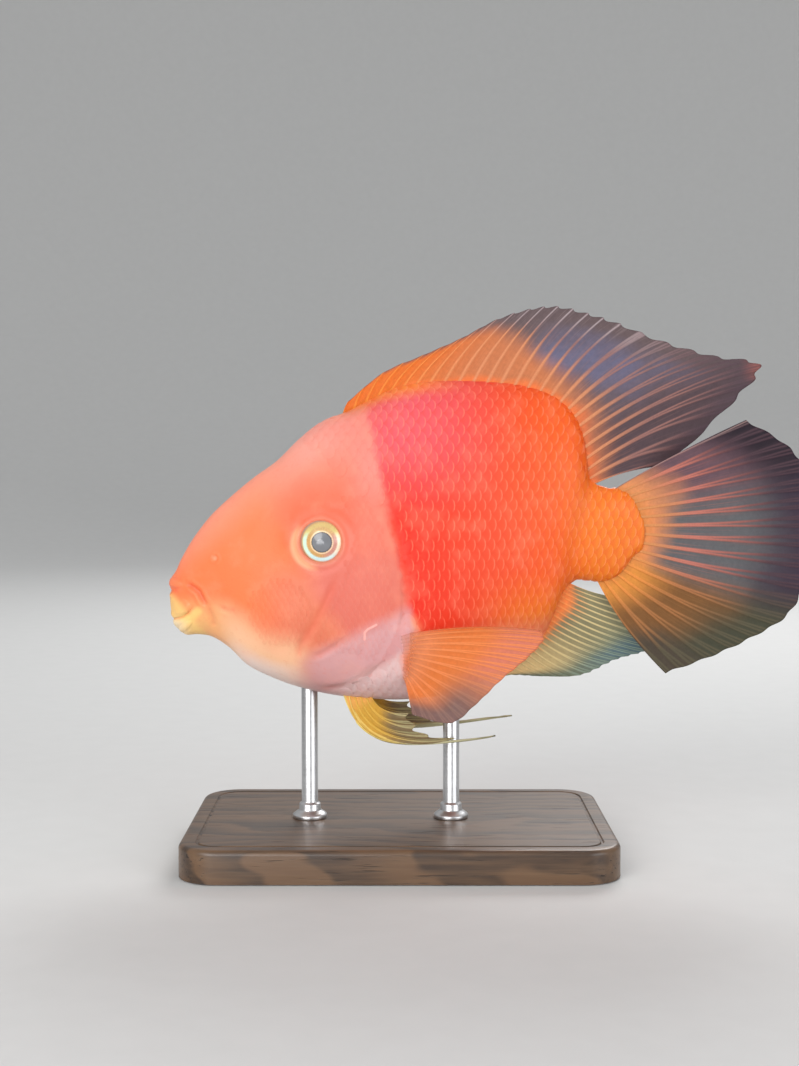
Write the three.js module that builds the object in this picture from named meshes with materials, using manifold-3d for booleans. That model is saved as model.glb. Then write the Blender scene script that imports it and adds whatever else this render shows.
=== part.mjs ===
// A blood parrot cichlid as a still, life-size model on a plain display stand.
// Millimetres, +Z up. +X runs from the mouth to the tail, and the fish's left flank faces -Y.
// The origin is the centre of the underside of the stand's base.

import * as THREE from 'three';
import { mergeVertices } from 'three/addons/utils/BufferGeometryUtils.js';
import Module from 'manifold-3d';

const wasm = await Module();
wasm.setup();

// Gaps and samples
const GAP = 0.3; // clear space that two touching pieces keep
const RING = 26; // points round one cross-section of the body
const STATIONS = 50; // cross-sections from the lips to the tail root
const CORE_STATIONS = 26; // the same for the body under the gill covers
const REACH = 60; // half length of a cutting prism, past both flanks
const CORE_LEAST = 0.2; // least width of the core, as a share of the body's width there

// The body as cross-sections, lips first, evenly spaced along the back.
// Each holds the back's x and z, the belly's x and z, and half the body's width there.
const SECTIONS = [
  [-71.9, 86.8, -70.7, 71.0, 3.2],
  [-70.4, 89.0, -67.5, 68.5, 5.4],
  [-68.5, 93.1, -63.7, 68.6, 7.2],
  [-64.7, 99.4, -59.0, 67.8, 9.4],
  [-59.3, 106.3, -53.6, 64.4, 11.8],
  [-52.7, 112.5, -48.0, 59.0, 14.4],
  [-45.4, 118.5, -41.0, 55.2, 16.9],
  [-38.5, 123.7, -34.1, 52.5, 19.0],
  [-31.2, 130.8, -26.8, 50.5, 20.9],
  [-23.7, 136.1, -19.6, 49.1, 22.4],
  [-15.8, 139.0, -12.0, 48.3, 23.4],
  [-7.6, 142.9, -3.8, 47.8, 23.9],
  [1.3, 146.5, 4.4, 48.0, 23.6],
  [10.7, 147.8, 12.6, 49.2, 22.6],
  [20.8, 148.0, 20.2, 51.4, 20.8],
  [30.6, 147.5, 27.4, 55.1, 18.4],
  [40.1, 146.2, 34.4, 59.8, 15.8],
  [48.0, 143.2, 41.0, 64.4, 13.2],
  [53.6, 138.5, 46.1, 70.4, 11.0],
  [56.8, 132.2, 49.2, 77.0, 9.3],
  [58.4, 124.6, 51.7, 82.7, 7.9],
  [59.9, 117.7, 54.9, 85.8, 6.8],
  [64.4, 115.2, 59.3, 85.7, 5.9],
  [68.8, 114.8, 63.7, 85.5, 4.9],
  [72.9, 112.0, 68.8, 87.7, 3.6],
  [75.7, 106.0, 73.8, 94.3, 2.2],
];
const LAST = SECTIONS.length - 1;
const WIDEST = 0.45; // height of the widest point, as a share of the depth from the belly up
const BELLY_FULLNESS = 2.2; // superellipse power below the widest point
const CROWN_HEAD = 2.15; // the same above it, on the head
const CROWN_BACK = 1.75; // and under the dorsal fin, where the back is a ridge
const SNOUT_TIP = [-72.8, 80.5]; // x and z where the first section closes
const TAIL_ROOT_TIP = [76.6, 100.2]; // x and z where the last section closes

// The tail swings a little towards the left flank
const BEND_START = 20; // x where the swing starts
const BEND_BODY = 0.0015; // swing per square millimetre along the body
const BEND_FIN_START = 69; // x where the tail fin takes over
const BEND_FIN = 0.001; // swing per square millimetre added along the fin

// Head
const EYE = { x: -24.3, z: 98.4, radius: 7.4, half: 4.6, sunk: 2.7 }; // half thickness, centre's depth
const NOSTRIL = { x: -57.1, z: 93.4, radius: 0.9 };
const HEAD_REAR = [[-16.6, 144.5], [-12.6, 131.0], [-8.4, 118.9]]; // nape, down to the gill cover
const GILL_REAR = [
  [-3.8, 105.2], [-0.9, 96.9], [0.6, 87.4], [0.6, 77.6], [-1.3, 69.4], [-4.7, 62.8], [-12.6, 55.6],
];
const BREAST = [[-17.4, 51.6], [-20.5, 42.0]]; // where the head ends under the breast
const GILL_FRONT = [
  [-18.4, 53.7], [-24.4, 54.2], [-28.8, 58.6], [-29.6, 66.9], [-26.3, 76.0], [-21.5, 86.0], [-16.2, 97.0],
];
const GILL_TOP = [[-13.0, 107.4], [-8.0, 109.2]];
const GILL_THICK = 2.6; // the gill cover's plate
const GILL_PROUD = 0.5; // how far it stands off the flank
const JAW = [
  [-80, 60.5], [-80, 64.5], [-69.3, 72.3], [-64.0, 77.3], [-58.7, 72.4], [-53.9, 66.6], [-53.9, 54],
];
const TAIL_ROOT_CUT = [[60.2, 124.0], [51.6, 76.0], [95.0, 76.0], [95.0, 124.0]];
const MOUTH_GAPE = [[-80, 77.6], [-70.4, 74.2], [-64.0, 77.8]]; // the upper lip's side of the mouth
const LIPS = {
  snout: { x: -70.6, z: 86.2, back: 5.5, side: 5.2, drop: -1.2, front: 2.2, corner: 1.0, tall: 1 },
  upper: { x: -69.9, z: 78.6, back: 6.0, side: 6.2, drop: -0.4, front: 2.9, corner: 1.4, tall: 1.3 },
  lower: { x: -67.9, z: 70.9, back: 4.6, side: 5.0, drop: 2.6, front: 2.1, corner: 1.2, tall: 1 },
};

// Fins: where each grows, how many rays it has, and where the rays end.
// tips are x and z, from the first ray to the last.
const MEMBRANE = { root: 0.6, tip: 0.5 }; // thickness between the rays
const RIDGE = { root: 0.38, tip: 0.17 }; // how far a ray stands out of each face
const RAY_WIDTH = { root: 0.34, tip: 0.22 }; // half a ray's width, as a share of the pitch
const ROOT_THICK = 0.9; // added where a fin leaves the body
const ROOT_SHARE = 1 / 3; // share of the fin's length that is thicker there
const SUNK = 3.2; // how far a fin is drawn into the body before it is trimmed to it

const DORSAL = {
  rays: 27, rows: 5, from: 9.75, to: 21.4, bow: 0.05, lean: 3.2, notch: 0.05,
  tips: [
    [-16.1, 142.0], [-5.0, 151.1], [7.6, 156.6], [19.6, 161.9], [30.6, 167.7],
    [41.0, 171.0], [49.8, 171.8], [59.3, 169.6], [69.4, 166.3], [83.6, 160.6],
    [99.4, 156.2], [113.6, 153.3], [105.1, 141.7], [84.6, 121.8],
  ],
};
const ANAL = {
  rays: 16, rows: 5, from: 14.35, to: 20.6, bow: -0.05, lean: 3.0, notch: 0.04,
  tips: [
    [27.1, 54.1], [35.3, 55.7], [45.7, 55.1], [57.7, 55.5],
    [68.8, 60.4], [80.5, 63.7], [90.9, 68.8], [75.7, 79.5],
  ],
};
const TAIL = {
  rays: 17, rows: 6, fan: { x: 62.4, z: 100.6, rx: 10.2, rz: 12.6, top: 78, bottom: -98 },
  bow: { top: 0.015, bottom: -0.045 }, notch: 0.008,
  tips: [
    [106.6, 136.0], [118.3, 128.7], [125.6, 119.3], [128.1, 109.2], [128.1, 98.4],
    [124.9, 86.8], [119.6, 76.0], [108.8, 68.5], [96.5, 62.2], [83.3, 56.9],
  ],
};
const PECTORAL = {
  rays: 13, rows: 5, section: 11.7, high: 0.235, low: 0.1, bow: 0.05, notch: 0.03,
  spread: { left: 12, right: 14 }, // how far the tips stand out from the fin's root
  belly: 3, // how far the fin's middle bows away from the body
  tips: [[43.2, 72.6], [44.5, 68.8], [39.1, 62.5], [31.6, 56.2], [23.7, 48.9], [15.8, 43.2], [3.8, 46.1]],
};
const PELVIC = {
  rays: 6, rows: 8, rootX: [-17.4, -8.6], rootZ: 49.6, rootY: [5.2, 6.0], notch: 0.04,
  plain: true, // its rays lie too close for ridges
  // each ray's middle and tip, the spine first; the second is drawn out to a filament
  left: [
    [-13.6, 36.4, 0.8, 35.0], [-12.6, 30.4, 30.0, 37.5], [-10.4, 33.4, 17.4, 36.9],
    [-8.8, 37.2, 8.4, 38.2], [-7.6, 40.8, 5.0, 41.2], [-6.4, 44.4, 2.8, 45.0],
  ],
  right: [
    [-14.4, 38.6, 0.4, 37.2], [-12.2, 33.4, 36.3, 41.3], [-10.2, 35.6, 18.6, 38.9],
    [-8.8, 38.6, 9.2, 40.2], [-7.4, 41.6, 5.6, 42.6], [-6.2, 44.8, 3.2, 45.6],
  ],
  lean: { left: 3.4, right: 3.8 },
};

// Stand
const BASE = { length: 132, width: 86, height: 10, corner: 12, edge: 1.5 };
const ROD = { radius: 2.6, seat: 6, sunk: 6, places: { front: [-28.5, 50.6], rear: [16.4, 49.8] } };

// Colours
const ORANGE = 0xf5744a;
const PINK = 0xf6a08c;
const FIN = 0xd08a66;
const TAIL_FIN = 0xa8806c;
const GOLD = 0xd8c078;
const WOOD = 0x4a3626;
const STEEL = 0xb8bcc0;

// Smooth curve through evenly spaced rows of numbers, t from 0 at the first row to 1 at the last
function alongRows(rows, t) {
  const span = rows.length - 1;
  const i = Math.min(Math.max(Math.floor(t * span), 0), span - 1);
  const f = t * span - i;
  const before = rows[Math.max(i - 1, 0)];
  const after = rows[Math.min(i + 2, span)];
  return rows[i].map((start, k) => {
    const end = rows[i + 1][k];
    const slope0 = (end - before[k]) / 2;
    const slope1 = (after[k] - start) / 2;
    const cubic = 2 * (start - end) + slope0 + slope1;
    const square = 3 * (end - start) - 2 * slope0 - slope1;
    return start + f * (slope0 + f * (square + f * cubic));
  });
}

function mix(a, b, t) {
  return a + (b - a) * t;
}

// Sideways place of the fish's middle plane at a given x
function bendAt(x) {
  const body = Math.min(Math.max(x - BEND_START, 0), BEND_FIN_START - BEND_START);
  const fin = Math.max(x - BEND_FIN_START, 0);
  const slope = 2 * BEND_BODY * (BEND_FIN_START - BEND_START);
  return -(BEND_BODY * body * body + slope * fin + BEND_FIN * fin * fin);
}

// Point of the skin: station counts sections, turn goes round from the back over the left flank
function skinPoint(station, turn) {
  const [topX, topZ, lowX, lowZ, halfWidth] = alongRows(SECTIONS, station / LAST);
  const up = Math.cos(turn);
  const out = Math.sin(turn);
  const crown = mix(CROWN_HEAD, CROWN_BACK, THREE.MathUtils.smoothstep(station, 8, 13));
  const power = 2 / (up > 0 ? crown : BELLY_FULLNESS);
  const rise = Math.abs(up) ** power;
  const share = up > 0 ? WIDEST + (1 - WIDEST) * rise : WIDEST * (1 - rise);
  const x = mix(lowX, topX, share);
  const side = -Math.sign(out) * halfWidth * Math.abs(out) ** power;
  return new THREE.Vector3(x, bendAt(x) + side, mix(lowZ, topZ, share));
}

// Flank point at a share of the depth, on the left (-1) or the right (1)
function flankPoint(station, share, side) {
  const rise = share > WIDEST ? (share - WIDEST) / (1 - WIDEST) : (WIDEST - share) / WIDEST;
  const power = share > WIDEST ? CROWN_HEAD / 2 : BELLY_FULLNESS / 2;
  const up = Math.min(rise ** power, 1);
  const turn = share > WIDEST ? Math.acos(up) : Math.PI - Math.acos(up);
  return skinPoint(station, -side * turn);
}

function facesGeometry(points, faces) {
  const geometry = new THREE.BufferGeometry();
  const numbers = points.flatMap((point) => point.toArray());
  geometry.setAttribute('position', new THREE.Float32BufferAttribute(numbers, 3));
  geometry.setIndex(faces);
  return geometry;
}

// Closed surface from rings of points and a point at each end
function ringsGeometry(rings, startPoint, endPoint) {
  const count = rings[0].length;
  const points = [startPoint, ...rings.flat(), endPoint];
  const faces = [];
  for (let r = 0; r < rings.length - 1; r += 1) {
    for (let i = 0; i < count; i += 1) {
      const a = 1 + r * count + i;
      const b = 1 + r * count + (i + 1) % count;
      faces.push(a, b, b + count, a, b + count, a + count);
    }
  }
  const endRing = 1 + (rings.length - 1) * count;
  for (let i = 0; i < count; i += 1) {
    const next = (i + 1) % count;
    faces.push(0, 1 + next, 1 + i);
    faces.push(points.length - 1, endRing + i, endRing + next);
  }
  return facesGeometry(points, faces);
}

// The same geometry with its points moved along their normals
function grown(geometry, amount) {
  const copy = geometry.clone();
  copy.computeVertexNormals();
  const place = copy.getAttribute('position');
  const normal = copy.getAttribute('normal');
  const point = new THREE.Vector3();
  const way = new THREE.Vector3();
  for (let i = 0; i < place.count; i += 1) {
    point.fromBufferAttribute(place, i);
    way.fromBufferAttribute(normal, i);
    point.addScaledVector(way, amount);
    place.setXYZ(i, point.x, point.y, point.z);
  }
  return copy;
}

function solidOf(geometry) {
  const bare = geometry.clone();
  bare.deleteAttribute('normal');
  bare.deleteAttribute('uv');
  const merged = mergeVertices(bare, 1e-4);
  const vertProperties = new Float32Array(merged.getAttribute('position').array);
  const triVerts = new Uint32Array(merged.index.array);
  const solid = new wasm.Manifold(new wasm.Mesh({ numProp: 3, vertProperties, triVerts }));
  if (solid.volume() > 0) {
    return solid;
  }
  // A mirrored piece comes out with its faces turned in
  return new wasm.Manifold(new wasm.Mesh({ numProp: 3, vertProperties, triVerts: triVerts.toReversed() }));
}

function geometryOf(solid) {
  const mesh = solid.getMesh();
  const geometry = new THREE.BufferGeometry();
  geometry.setAttribute('position', new THREE.Float32BufferAttribute(mesh.vertProperties, 3));
  geometry.setIndex(Array.from(mesh.triVerts));
  geometry.computeVertexNormals();
  return geometry;
}

function largestOf(solid) {
  const pieces = solid.decompose();
  return pieces.reduce((best, piece) => (piece.volume() > best.volume() ? piece : best));
}

// Body from one station to another, with its width changed by thinner
function bodyGeometry(thinner = 0, stations = STATIONS) {
  const rings = [];
  for (let s = 0; s <= stations; s += 1) {
    const ring = [];
    for (let i = 0; i < RING; i += 1) {
      const point = skinPoint(LAST * s / stations, 2 * Math.PI * i / RING);
      const middle = bendAt(point.x);
      const half = Math.abs(point.y - middle);
      point.y = middle + Math.sign(point.y - middle) * Math.max(half - thinner, half * CORE_LEAST);
      ring.push(point);
    }
    rings.push(ring);
  }
  const [startX, startZ] = SNOUT_TIP;
  const [endX, endZ] = TAIL_ROOT_TIP;
  return ringsGeometry(
    rings,
    new THREE.Vector3(startX, 0, startZ),
    new THREE.Vector3(endX, bendAt(endX), endZ),
  );
}

// Prism of a side-view outline, drawn in x and z, between two values of y
function prism(outline, fromY, toY) {
  const shape = new THREE.Shape(outline.map(([x, z]) => new THREE.Vector2(x, z)));
  const geometry = new THREE.ExtrudeGeometry(shape, { depth: toY - fromY, bevelEnabled: false });
  geometry.rotateX(Math.PI / 2);
  geometry.translate(0, toY, 0);
  return solidOf(geometry);
}

// Rounds an outline's stretch into a smooth line of points
function smoothLine(points, perSpan) {
  const curve = new THREE.CatmullRomCurve3(points.map(([x, z]) => new THREE.Vector3(x, 0, z)));
  return curve.getPoints((points.length - 1) * perSpan).map((p) => [p.x, p.z]);
}

// Closed outline moved outwards by distance; its points run either way round
function offsetOutline(outline, distance) {
  const shape = new THREE.Shape(outline.map(([x, z]) => new THREE.Vector2(x, z)));
  const outward = THREE.ShapeUtils.isClockWise(shape.getPoints()) ? 1 : -1;
  return outline.map(([x, z], i) => {
    const [backX, backZ] = outline[(i + outline.length - 1) % outline.length];
    const [nextX, nextZ] = outline[(i + 1) % outline.length];
    const way = new THREE.Vector2(x - backX, z - backZ).normalize();
    way.add(new THREE.Vector2(nextX - x, nextZ - z).normalize()).normalize();
    return [x - way.y * distance * outward, z + way.x * distance * outward];
  });
}

// Ball flattened towards the flank, its poles to the sides
function ball(radius, half, place, around, down) {
  const geometry = new THREE.SphereGeometry(radius, around, down);
  geometry.rotateX(Math.PI / 2);
  geometry.scale(1, half / radius, 1);
  geometry.translate(...place);
  return geometry;
}

// Lip: a tapered roll from one corner of the mouth round the front to the other
function lipGeometry(lip) {
  const steps = 10;
  const sides = 8;
  const rings = [];
  for (let s = 0; s <= steps; s += 1) {
    const turn = Math.PI * (s / steps - 0.5);
    const inward = 1 - Math.cos(turn);
    const centre = new THREE.Vector3(
      lip.x + lip.back * inward,
      lip.side * Math.sin(turn),
      lip.z + lip.drop * inward,
    );
    const along = new THREE.Vector3(lip.back * Math.sin(turn), lip.side * Math.cos(turn), 0).normalize();
    const up = new THREE.Vector3(0, 0, 1);
    const across = new THREE.Vector3().crossVectors(up, along);
    const radius = mix(lip.front, lip.corner, inward);
    const ring = [];
    for (let i = 0; i < sides; i += 1) {
      const angle = 2 * Math.PI * i / sides;
      const point = centre.clone();
      point.addScaledVector(across, radius * Math.cos(angle));
      point.addScaledVector(up, lip.tall * radius * Math.sin(angle));
      ring.push(point);
    }
    rings.push(ring);
  }
  const centreOf = (ring) => ring.reduce((sum, p) => sum.add(p), new THREE.Vector3()).divideScalar(sides);
  return ringsGeometry(rings, centreOf(rings[0]), centreOf(rings[steps]));
}

// Distance of the flank's surface from the middle plane at a side-view place
function flankDepth(body, x, z) {
  const mesh = new THREE.Mesh(body, new THREE.MeshBasicMaterial({ side: THREE.DoubleSide }));
  const ray = new THREE.Raycaster(new THREE.Vector3(x, -REACH, z), new THREE.Vector3(0, 1, 0));
  return -ray.intersectObject(mesh)[0].point.y;
}

// Fin from a place(t, u) on its middle surface: t counts the rays from 0 to 1, u runs root to tip.
// Each ray is a ridge of three columns raised in both faces, over a thin membrane. On a plain fin
// it is one column, level with the membrane.
function finGeometry(fin, place) {
  const step = 1 / (fin.rays - 1);
  const feet = fin.plain ? [0] : [-1, 0, 1];
  const columns = [];
  for (let r = 0; r < fin.rays; r += 1) {
    for (const foot of feet) {
      const outside = (r === 0 && foot < 0) || (r === fin.rays - 1 && foot > 0);
      if (!outside) {
        columns.push({ t: r * step, foot });
      }
    }
  }
  const middle = columns.map(({ t, foot }) => {
    const column = [];
    for (let row = -1; row <= fin.rows; row += 1) {
      const u = Math.max(row, 0) / fin.rows;
      const edge = foot === 0 ? 1 : 1 - fin.notch;
      const halfRay = mix(RAY_WIDTH.root, RAY_WIDTH.tip, u) * step;
      const point = place(t + foot * halfRay, u * edge);
      if (row < 0) {
        const next = place(t + foot * halfRay, 1 / fin.rows);
        point.addScaledVector(next.sub(point).normalize(), -SUNK);
      }
      column.push(point);
    }
    return column;
  });
  const rowsAll = fin.rows + 2;
  const normalAt = (c, r) => {
    const beside = middle[Math.min(c + 1, columns.length - 1)][r];
    const across = beside.clone().sub(middle[Math.max(c - 1, 0)][r]);
    const along = middle[c][Math.min(r + 1, rowsAll - 1)].clone().sub(middle[c][Math.max(r - 1, 0)]);
    return across.cross(along).normalize();
  };
  const faces = [[], []];
  columns.forEach(({ foot }, c) => {
    for (let r = 0; r < rowsAll; r += 1) {
      const u = Math.max(r - 1, 0) / fin.rows;
      const flesh = ROOT_THICK * Math.max(1 - u / ROOT_SHARE, 0) ** 2;
      const ridge = foot === 0 && !fin.plain ? mix(RIDGE.root, RIDGE.tip, u) : 0;
      const half = (mix(MEMBRANE.root, MEMBRANE.tip, u) + flesh) / 2 + ridge;
      const normal = normalAt(c, r);
      faces[0].push(middle[c][r].clone().addScaledVector(normal, half));
      faces[1].push(middle[c][r].clone().addScaledVector(normal, -half));
    }
  });
  const points = [...faces[0], ...faces[1]];
  const other = faces[0].length;
  const index = [];
  const quad = (a, b, c, d) => index.push(a, b, c, a, c, d);
  const at = (c, r) => c * rowsAll + r;
  for (let c = 0; c < columns.length - 1; c += 1) {
    for (let r = 0; r < rowsAll - 1; r += 1) {
      quad(at(c, r), at(c + 1, r), at(c + 1, r + 1), at(c, r + 1));
      index.push(other + at(c, r), other + at(c + 1, r + 1), other + at(c + 1, r));
      index.push(other + at(c, r), other + at(c, r + 1), other + at(c + 1, r + 1));
    }
    quad(other + at(c, 0), other + at(c + 1, 0), at(c + 1, 0), at(c, 0));
    const end = rowsAll - 1;
    quad(at(c, end), at(c + 1, end), other + at(c + 1, end), other + at(c, end));
  }
  for (let r = 0; r < rowsAll - 1; r += 1) {
    const last = columns.length - 1;
    quad(at(0, r), at(0, r + 1), other + at(0, r + 1), other + at(0, r));
    quad(other + at(last, r), other + at(last, r + 1), at(last, r + 1), at(last, r));
  }
  return facesGeometry(points, index);
}

// Point on a ray that bows sideways by a share of its length; positive bows upwards
function bowedRay(root, tip, bow, u) {
  const along = new THREE.Vector3().subVectors(tip, root);
  const up = new THREE.Vector3(-along.z, 0, along.x).multiplyScalar(4 * bow * u * (1 - u));
  return root.clone().addScaledVector(along, u).add(up);
}

// Dorsal and anal fins grow along the back or the belly between two stations
function medianFinPlace(fin, onBack) {
  return (t, u) => {
    const root = skinPoint(mix(fin.from, fin.to, t), onBack ? 0 : Math.PI);
    const [tipX, tipZ] = alongRows(fin.tips, t);
    const tip = new THREE.Vector3(tipX, root.y, tipZ);
    const point = bowedRay(root, tip, fin.bow, u);
    point.y += fin.lean * Math.max(t, 0) ** 1.5 * u * u;
    return point;
  };
}

function tailFinPlace(t, u) {
  const { x, z, rx, rz, top, bottom } = TAIL.fan;
  const angle = THREE.MathUtils.degToRad(mix(top, bottom, t));
  const root = new THREE.Vector3(x + rx * Math.cos(angle), 0, z + rz * Math.sin(angle));
  const [tipX, tipZ] = alongRows(TAIL.tips, t);
  const bow = mix(TAIL.bow.top, TAIL.bow.bottom, t);
  const point = bowedRay(root, new THREE.Vector3(tipX, 0, tipZ), bow, u);
  point.y = bendAt(point.x);
  return point;
}

function pectoralPlace(sideName) {
  const side = sideName === 'left' ? -1 : 1;
  return (t, u) => {
    const root = flankPoint(PECTORAL.section, mix(PECTORAL.high, PECTORAL.low, t), side);
    const [tipX, tipZ] = alongRows(PECTORAL.tips, t);
    const tip = new THREE.Vector3(tipX, root.y + side * PECTORAL.spread[sideName], tipZ);
    const point = bowedRay(root, tip, PECTORAL.bow * (1 - t), u);
    point.y += side * PECTORAL.belly * Math.sin(Math.PI * u) * (1 - t / 2);
    return point;
  };
}

function pelvicPlace(sideName) {
  const side = sideName === 'left' ? -1 : 1;
  return (t, u) => {
    const [midX, midZ, tipX, tipZ] = alongRows(PELVIC[sideName], t);
    const rootX = mix(PELVIC.rootX[0], PELVIC.rootX[1], t);
    const root = new THREE.Vector3(rootX, side * mix(...PELVIC.rootY, t), PELVIC.rootZ);
    const x = (1 - u) * (1 - u) * root.x + 2 * u * (1 - u) * midX + u * u * tipX;
    const z = (1 - u) * (1 - u) * root.z + 2 * u * (1 - u) * midZ + u * u * tipZ;
    return new THREE.Vector3(x, root.y + side * PELVIC.lean[sideName] * Math.sin(u * Math.PI / 2), z);
  };
}

// Assembly
const group = new THREE.Group();

function add(name, solidOrGeometry, color, roughness, metalness = 0) {
  const geometry = solidOrGeometry.isBufferGeometry ? solidOrGeometry : geometryOf(solidOrGeometry);
  const mesh = new THREE.Mesh(geometry, new THREE.MeshStandardMaterial({ color, roughness, metalness }));
  mesh.name = name;
  group.add(mesh);
}

const skin = bodyGeometry();
const body = solidOf(skin);
const bodyClear = solidOf(grown(skin, GAP));
const bodyProud = solidOf(grown(skin, GILL_PROUD));

// Outlines that part the body
const gillRear = smoothLine(GILL_REAR, 3);
const headOutline = [
  ...HEAD_REAR, ...gillRear, ...BREAST, [-95, 42.0], [-95, 144.5],
];
const gillOutline = [...gillRear, ...smoothLine(GILL_FRONT, 2), ...GILL_TOP];
const upperJawLine = [...MOUTH_GAPE, ...offsetOutline(JAW, GAP).slice(4), [-80, 54]];

// Rods and their seats
function rodGeometry(place, extra) {
  const [x, bodyZ] = ROD.places[place];
  const low = BASE.height - ROD.seat - extra;
  const high = bodyZ + ROD.sunk + extra;
  const geometry = new THREE.CylinderGeometry(ROD.radius + extra, ROD.radius + extra, high - low, 24);
  geometry.rotateX(Math.PI / 2);
  geometry.translate(x, 0, (low + high) / 2);
  return geometry;
}
const frontSeat = solidOf(rodGeometry('front', GAP));
const rearSeat = solidOf(rodGeometry('rear', GAP));

// Head, with the lips fused on and the eyes, nostrils and gill covers let in
const eyeY = flankDepth(skin, EYE.x, EYE.z) - EYE.sunk;
const nostrilY = flankDepth(skin, NOSTRIL.x, NOSTRIL.z);
const upperLips = solidOf(lipGeometry(LIPS.snout)).add(solidOf(lipGeometry(LIPS.upper)));
const core = solidOf(bodyGeometry(GILL_THICK + GAP, CORE_STATIONS));
const coreInside = solidOf(bodyGeometry(GILL_THICK, CORE_STATIONS));
const pocket = prism(offsetOutline(gillOutline, GAP), -REACH, REACH).subtract(core);

let head = body.intersect(prism(headOutline, -REACH, REACH)).add(upperLips);
head = head.subtract(prism(upperJawLine, -REACH, REACH)).subtract(pocket).subtract(frontSeat);
for (const side of [-1, 1]) {
  const socket = [EYE.x, side * eyeY, EYE.z];
  const nostril = [NOSTRIL.x, side * nostrilY, NOSTRIL.z];
  head = head.subtract(solidOf(ball(EYE.radius + GAP, EYE.half + GAP, socket, 20, 10)));
  head = head.subtract(solidOf(ball(NOSTRIL.radius, NOSTRIL.radius, nostril, 8, 6)));
}
add('head', largestOf(head), PINK, 0.42);

const jaw = body.add(solidOf(lipGeometry(LIPS.lower))).intersect(prism(JAW, -REACH, REACH));
add('lower_jaw', largestOf(jaw), PINK, 0.42);

for (const [name, side] of [['left', -1], ['right', 1]]) {
  const cover = bodyProud.intersect(prism(gillOutline, side < 0 ? -REACH : 0, side < 0 ? 0 : REACH));
  add(`gill_cover_${name}`, largestOf(cover.subtract(coreInside)), PINK, 0.4);
  add(`eye_${name}`, ball(EYE.radius, EYE.half, [EYE.x, side * eyeY, EYE.z], 20, 10), GOLD, 0.15);
}

// Trunk and tail root
const trunk = body
  .subtract(prism(offsetOutline(headOutline, GAP), -REACH, REACH))
  .subtract(prism(offsetOutline(TAIL_ROOT_CUT, GAP), -REACH, REACH))
  .subtract(rearSeat);
add('trunk', largestOf(trunk), ORANGE, 0.45);
add('tail_root', largestOf(body.intersect(prism(TAIL_ROOT_CUT, -REACH, REACH))), ORANGE, 0.45);

// Fins, each trimmed to the body that it grows from
function addFin(name, fin, place, color) {
  const blade = solidOf(finGeometry(fin, place));
  add(name, largestOf(blade.subtract(bodyClear)), color, 0.35);
}
addFin('dorsal_fin', DORSAL, medianFinPlace(DORSAL, true), FIN);
addFin('anal_fin', ANAL, medianFinPlace(ANAL, false), FIN);
addFin('tail_fin', TAIL, tailFinPlace, TAIL_FIN);
for (const name of ['left', 'right']) {
  addFin(`pectoral_fin_${name}`, PECTORAL, pectoralPlace(name), FIN);
  addFin(`pelvic_fin_${name}`, PELVIC, pelvicPlace(name), GOLD);
}

// Stand
function basePlate() {
  const { length, width, height, corner, edge } = BASE;
  const halfL = length / 2 - edge;
  const halfW = width / 2 - edge;
  const r = corner - edge;
  const shape = new THREE.Shape();
  shape.moveTo(-halfL + r, -halfW);
  shape.lineTo(halfL - r, -halfW);
  shape.absarc(halfL - r, -halfW + r, r, -Math.PI / 2, 0);
  shape.lineTo(halfL, halfW - r);
  shape.absarc(halfL - r, halfW - r, r, 0, Math.PI / 2);
  shape.lineTo(-halfL + r, halfW);
  shape.absarc(-halfL + r, halfW - r, r, Math.PI / 2, Math.PI);
  shape.lineTo(-halfL, -halfW + r);
  shape.absarc(-halfL + r, -halfW + r, r, Math.PI, Math.PI * 1.5);
  const geometry = new THREE.ExtrudeGeometry(shape, {
    depth: height - 2 * edge,
    bevelThickness: edge,
    bevelSize: edge,
    bevelSegments: 1,
    curveSegments: 5,
  });
  geometry.translate(0, 0, edge);
  return solidOf(geometry);
}
add('stand_base', basePlate().subtract(frontSeat).subtract(rearSeat), WOOD, 0.5);
add('stand_rod_front', rodGeometry('front', 0), STEEL, 0.3, 0.9);
add('stand_rod_rear', rodGeometry('rear', 0), STEEL, 0.3, 0.9);

export default group;
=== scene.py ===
# A blood parrot cichlid as a still, life-size model on a plain wooden display stand.
# Shapes are worked out in millimetres, with +X from the mouth to the tail and the left flank
# at -Y, and are written to the meshes in metres.

import math

import bpy
import numpy as np
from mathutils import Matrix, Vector


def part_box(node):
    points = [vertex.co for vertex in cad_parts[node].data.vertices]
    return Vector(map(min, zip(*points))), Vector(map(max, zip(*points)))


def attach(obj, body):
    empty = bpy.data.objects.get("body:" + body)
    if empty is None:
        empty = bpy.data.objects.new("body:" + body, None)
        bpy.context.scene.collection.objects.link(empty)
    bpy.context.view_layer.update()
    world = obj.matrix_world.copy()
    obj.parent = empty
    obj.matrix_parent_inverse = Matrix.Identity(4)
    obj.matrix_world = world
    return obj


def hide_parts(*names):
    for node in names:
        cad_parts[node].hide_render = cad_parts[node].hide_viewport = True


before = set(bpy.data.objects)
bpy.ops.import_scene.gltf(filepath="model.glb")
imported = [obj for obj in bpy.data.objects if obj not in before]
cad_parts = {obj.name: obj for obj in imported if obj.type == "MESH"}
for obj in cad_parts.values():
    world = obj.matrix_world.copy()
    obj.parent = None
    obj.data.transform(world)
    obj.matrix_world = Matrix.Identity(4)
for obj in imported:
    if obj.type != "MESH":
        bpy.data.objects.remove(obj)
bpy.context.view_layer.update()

MM = 0.001  # metres in a millimetre

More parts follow.
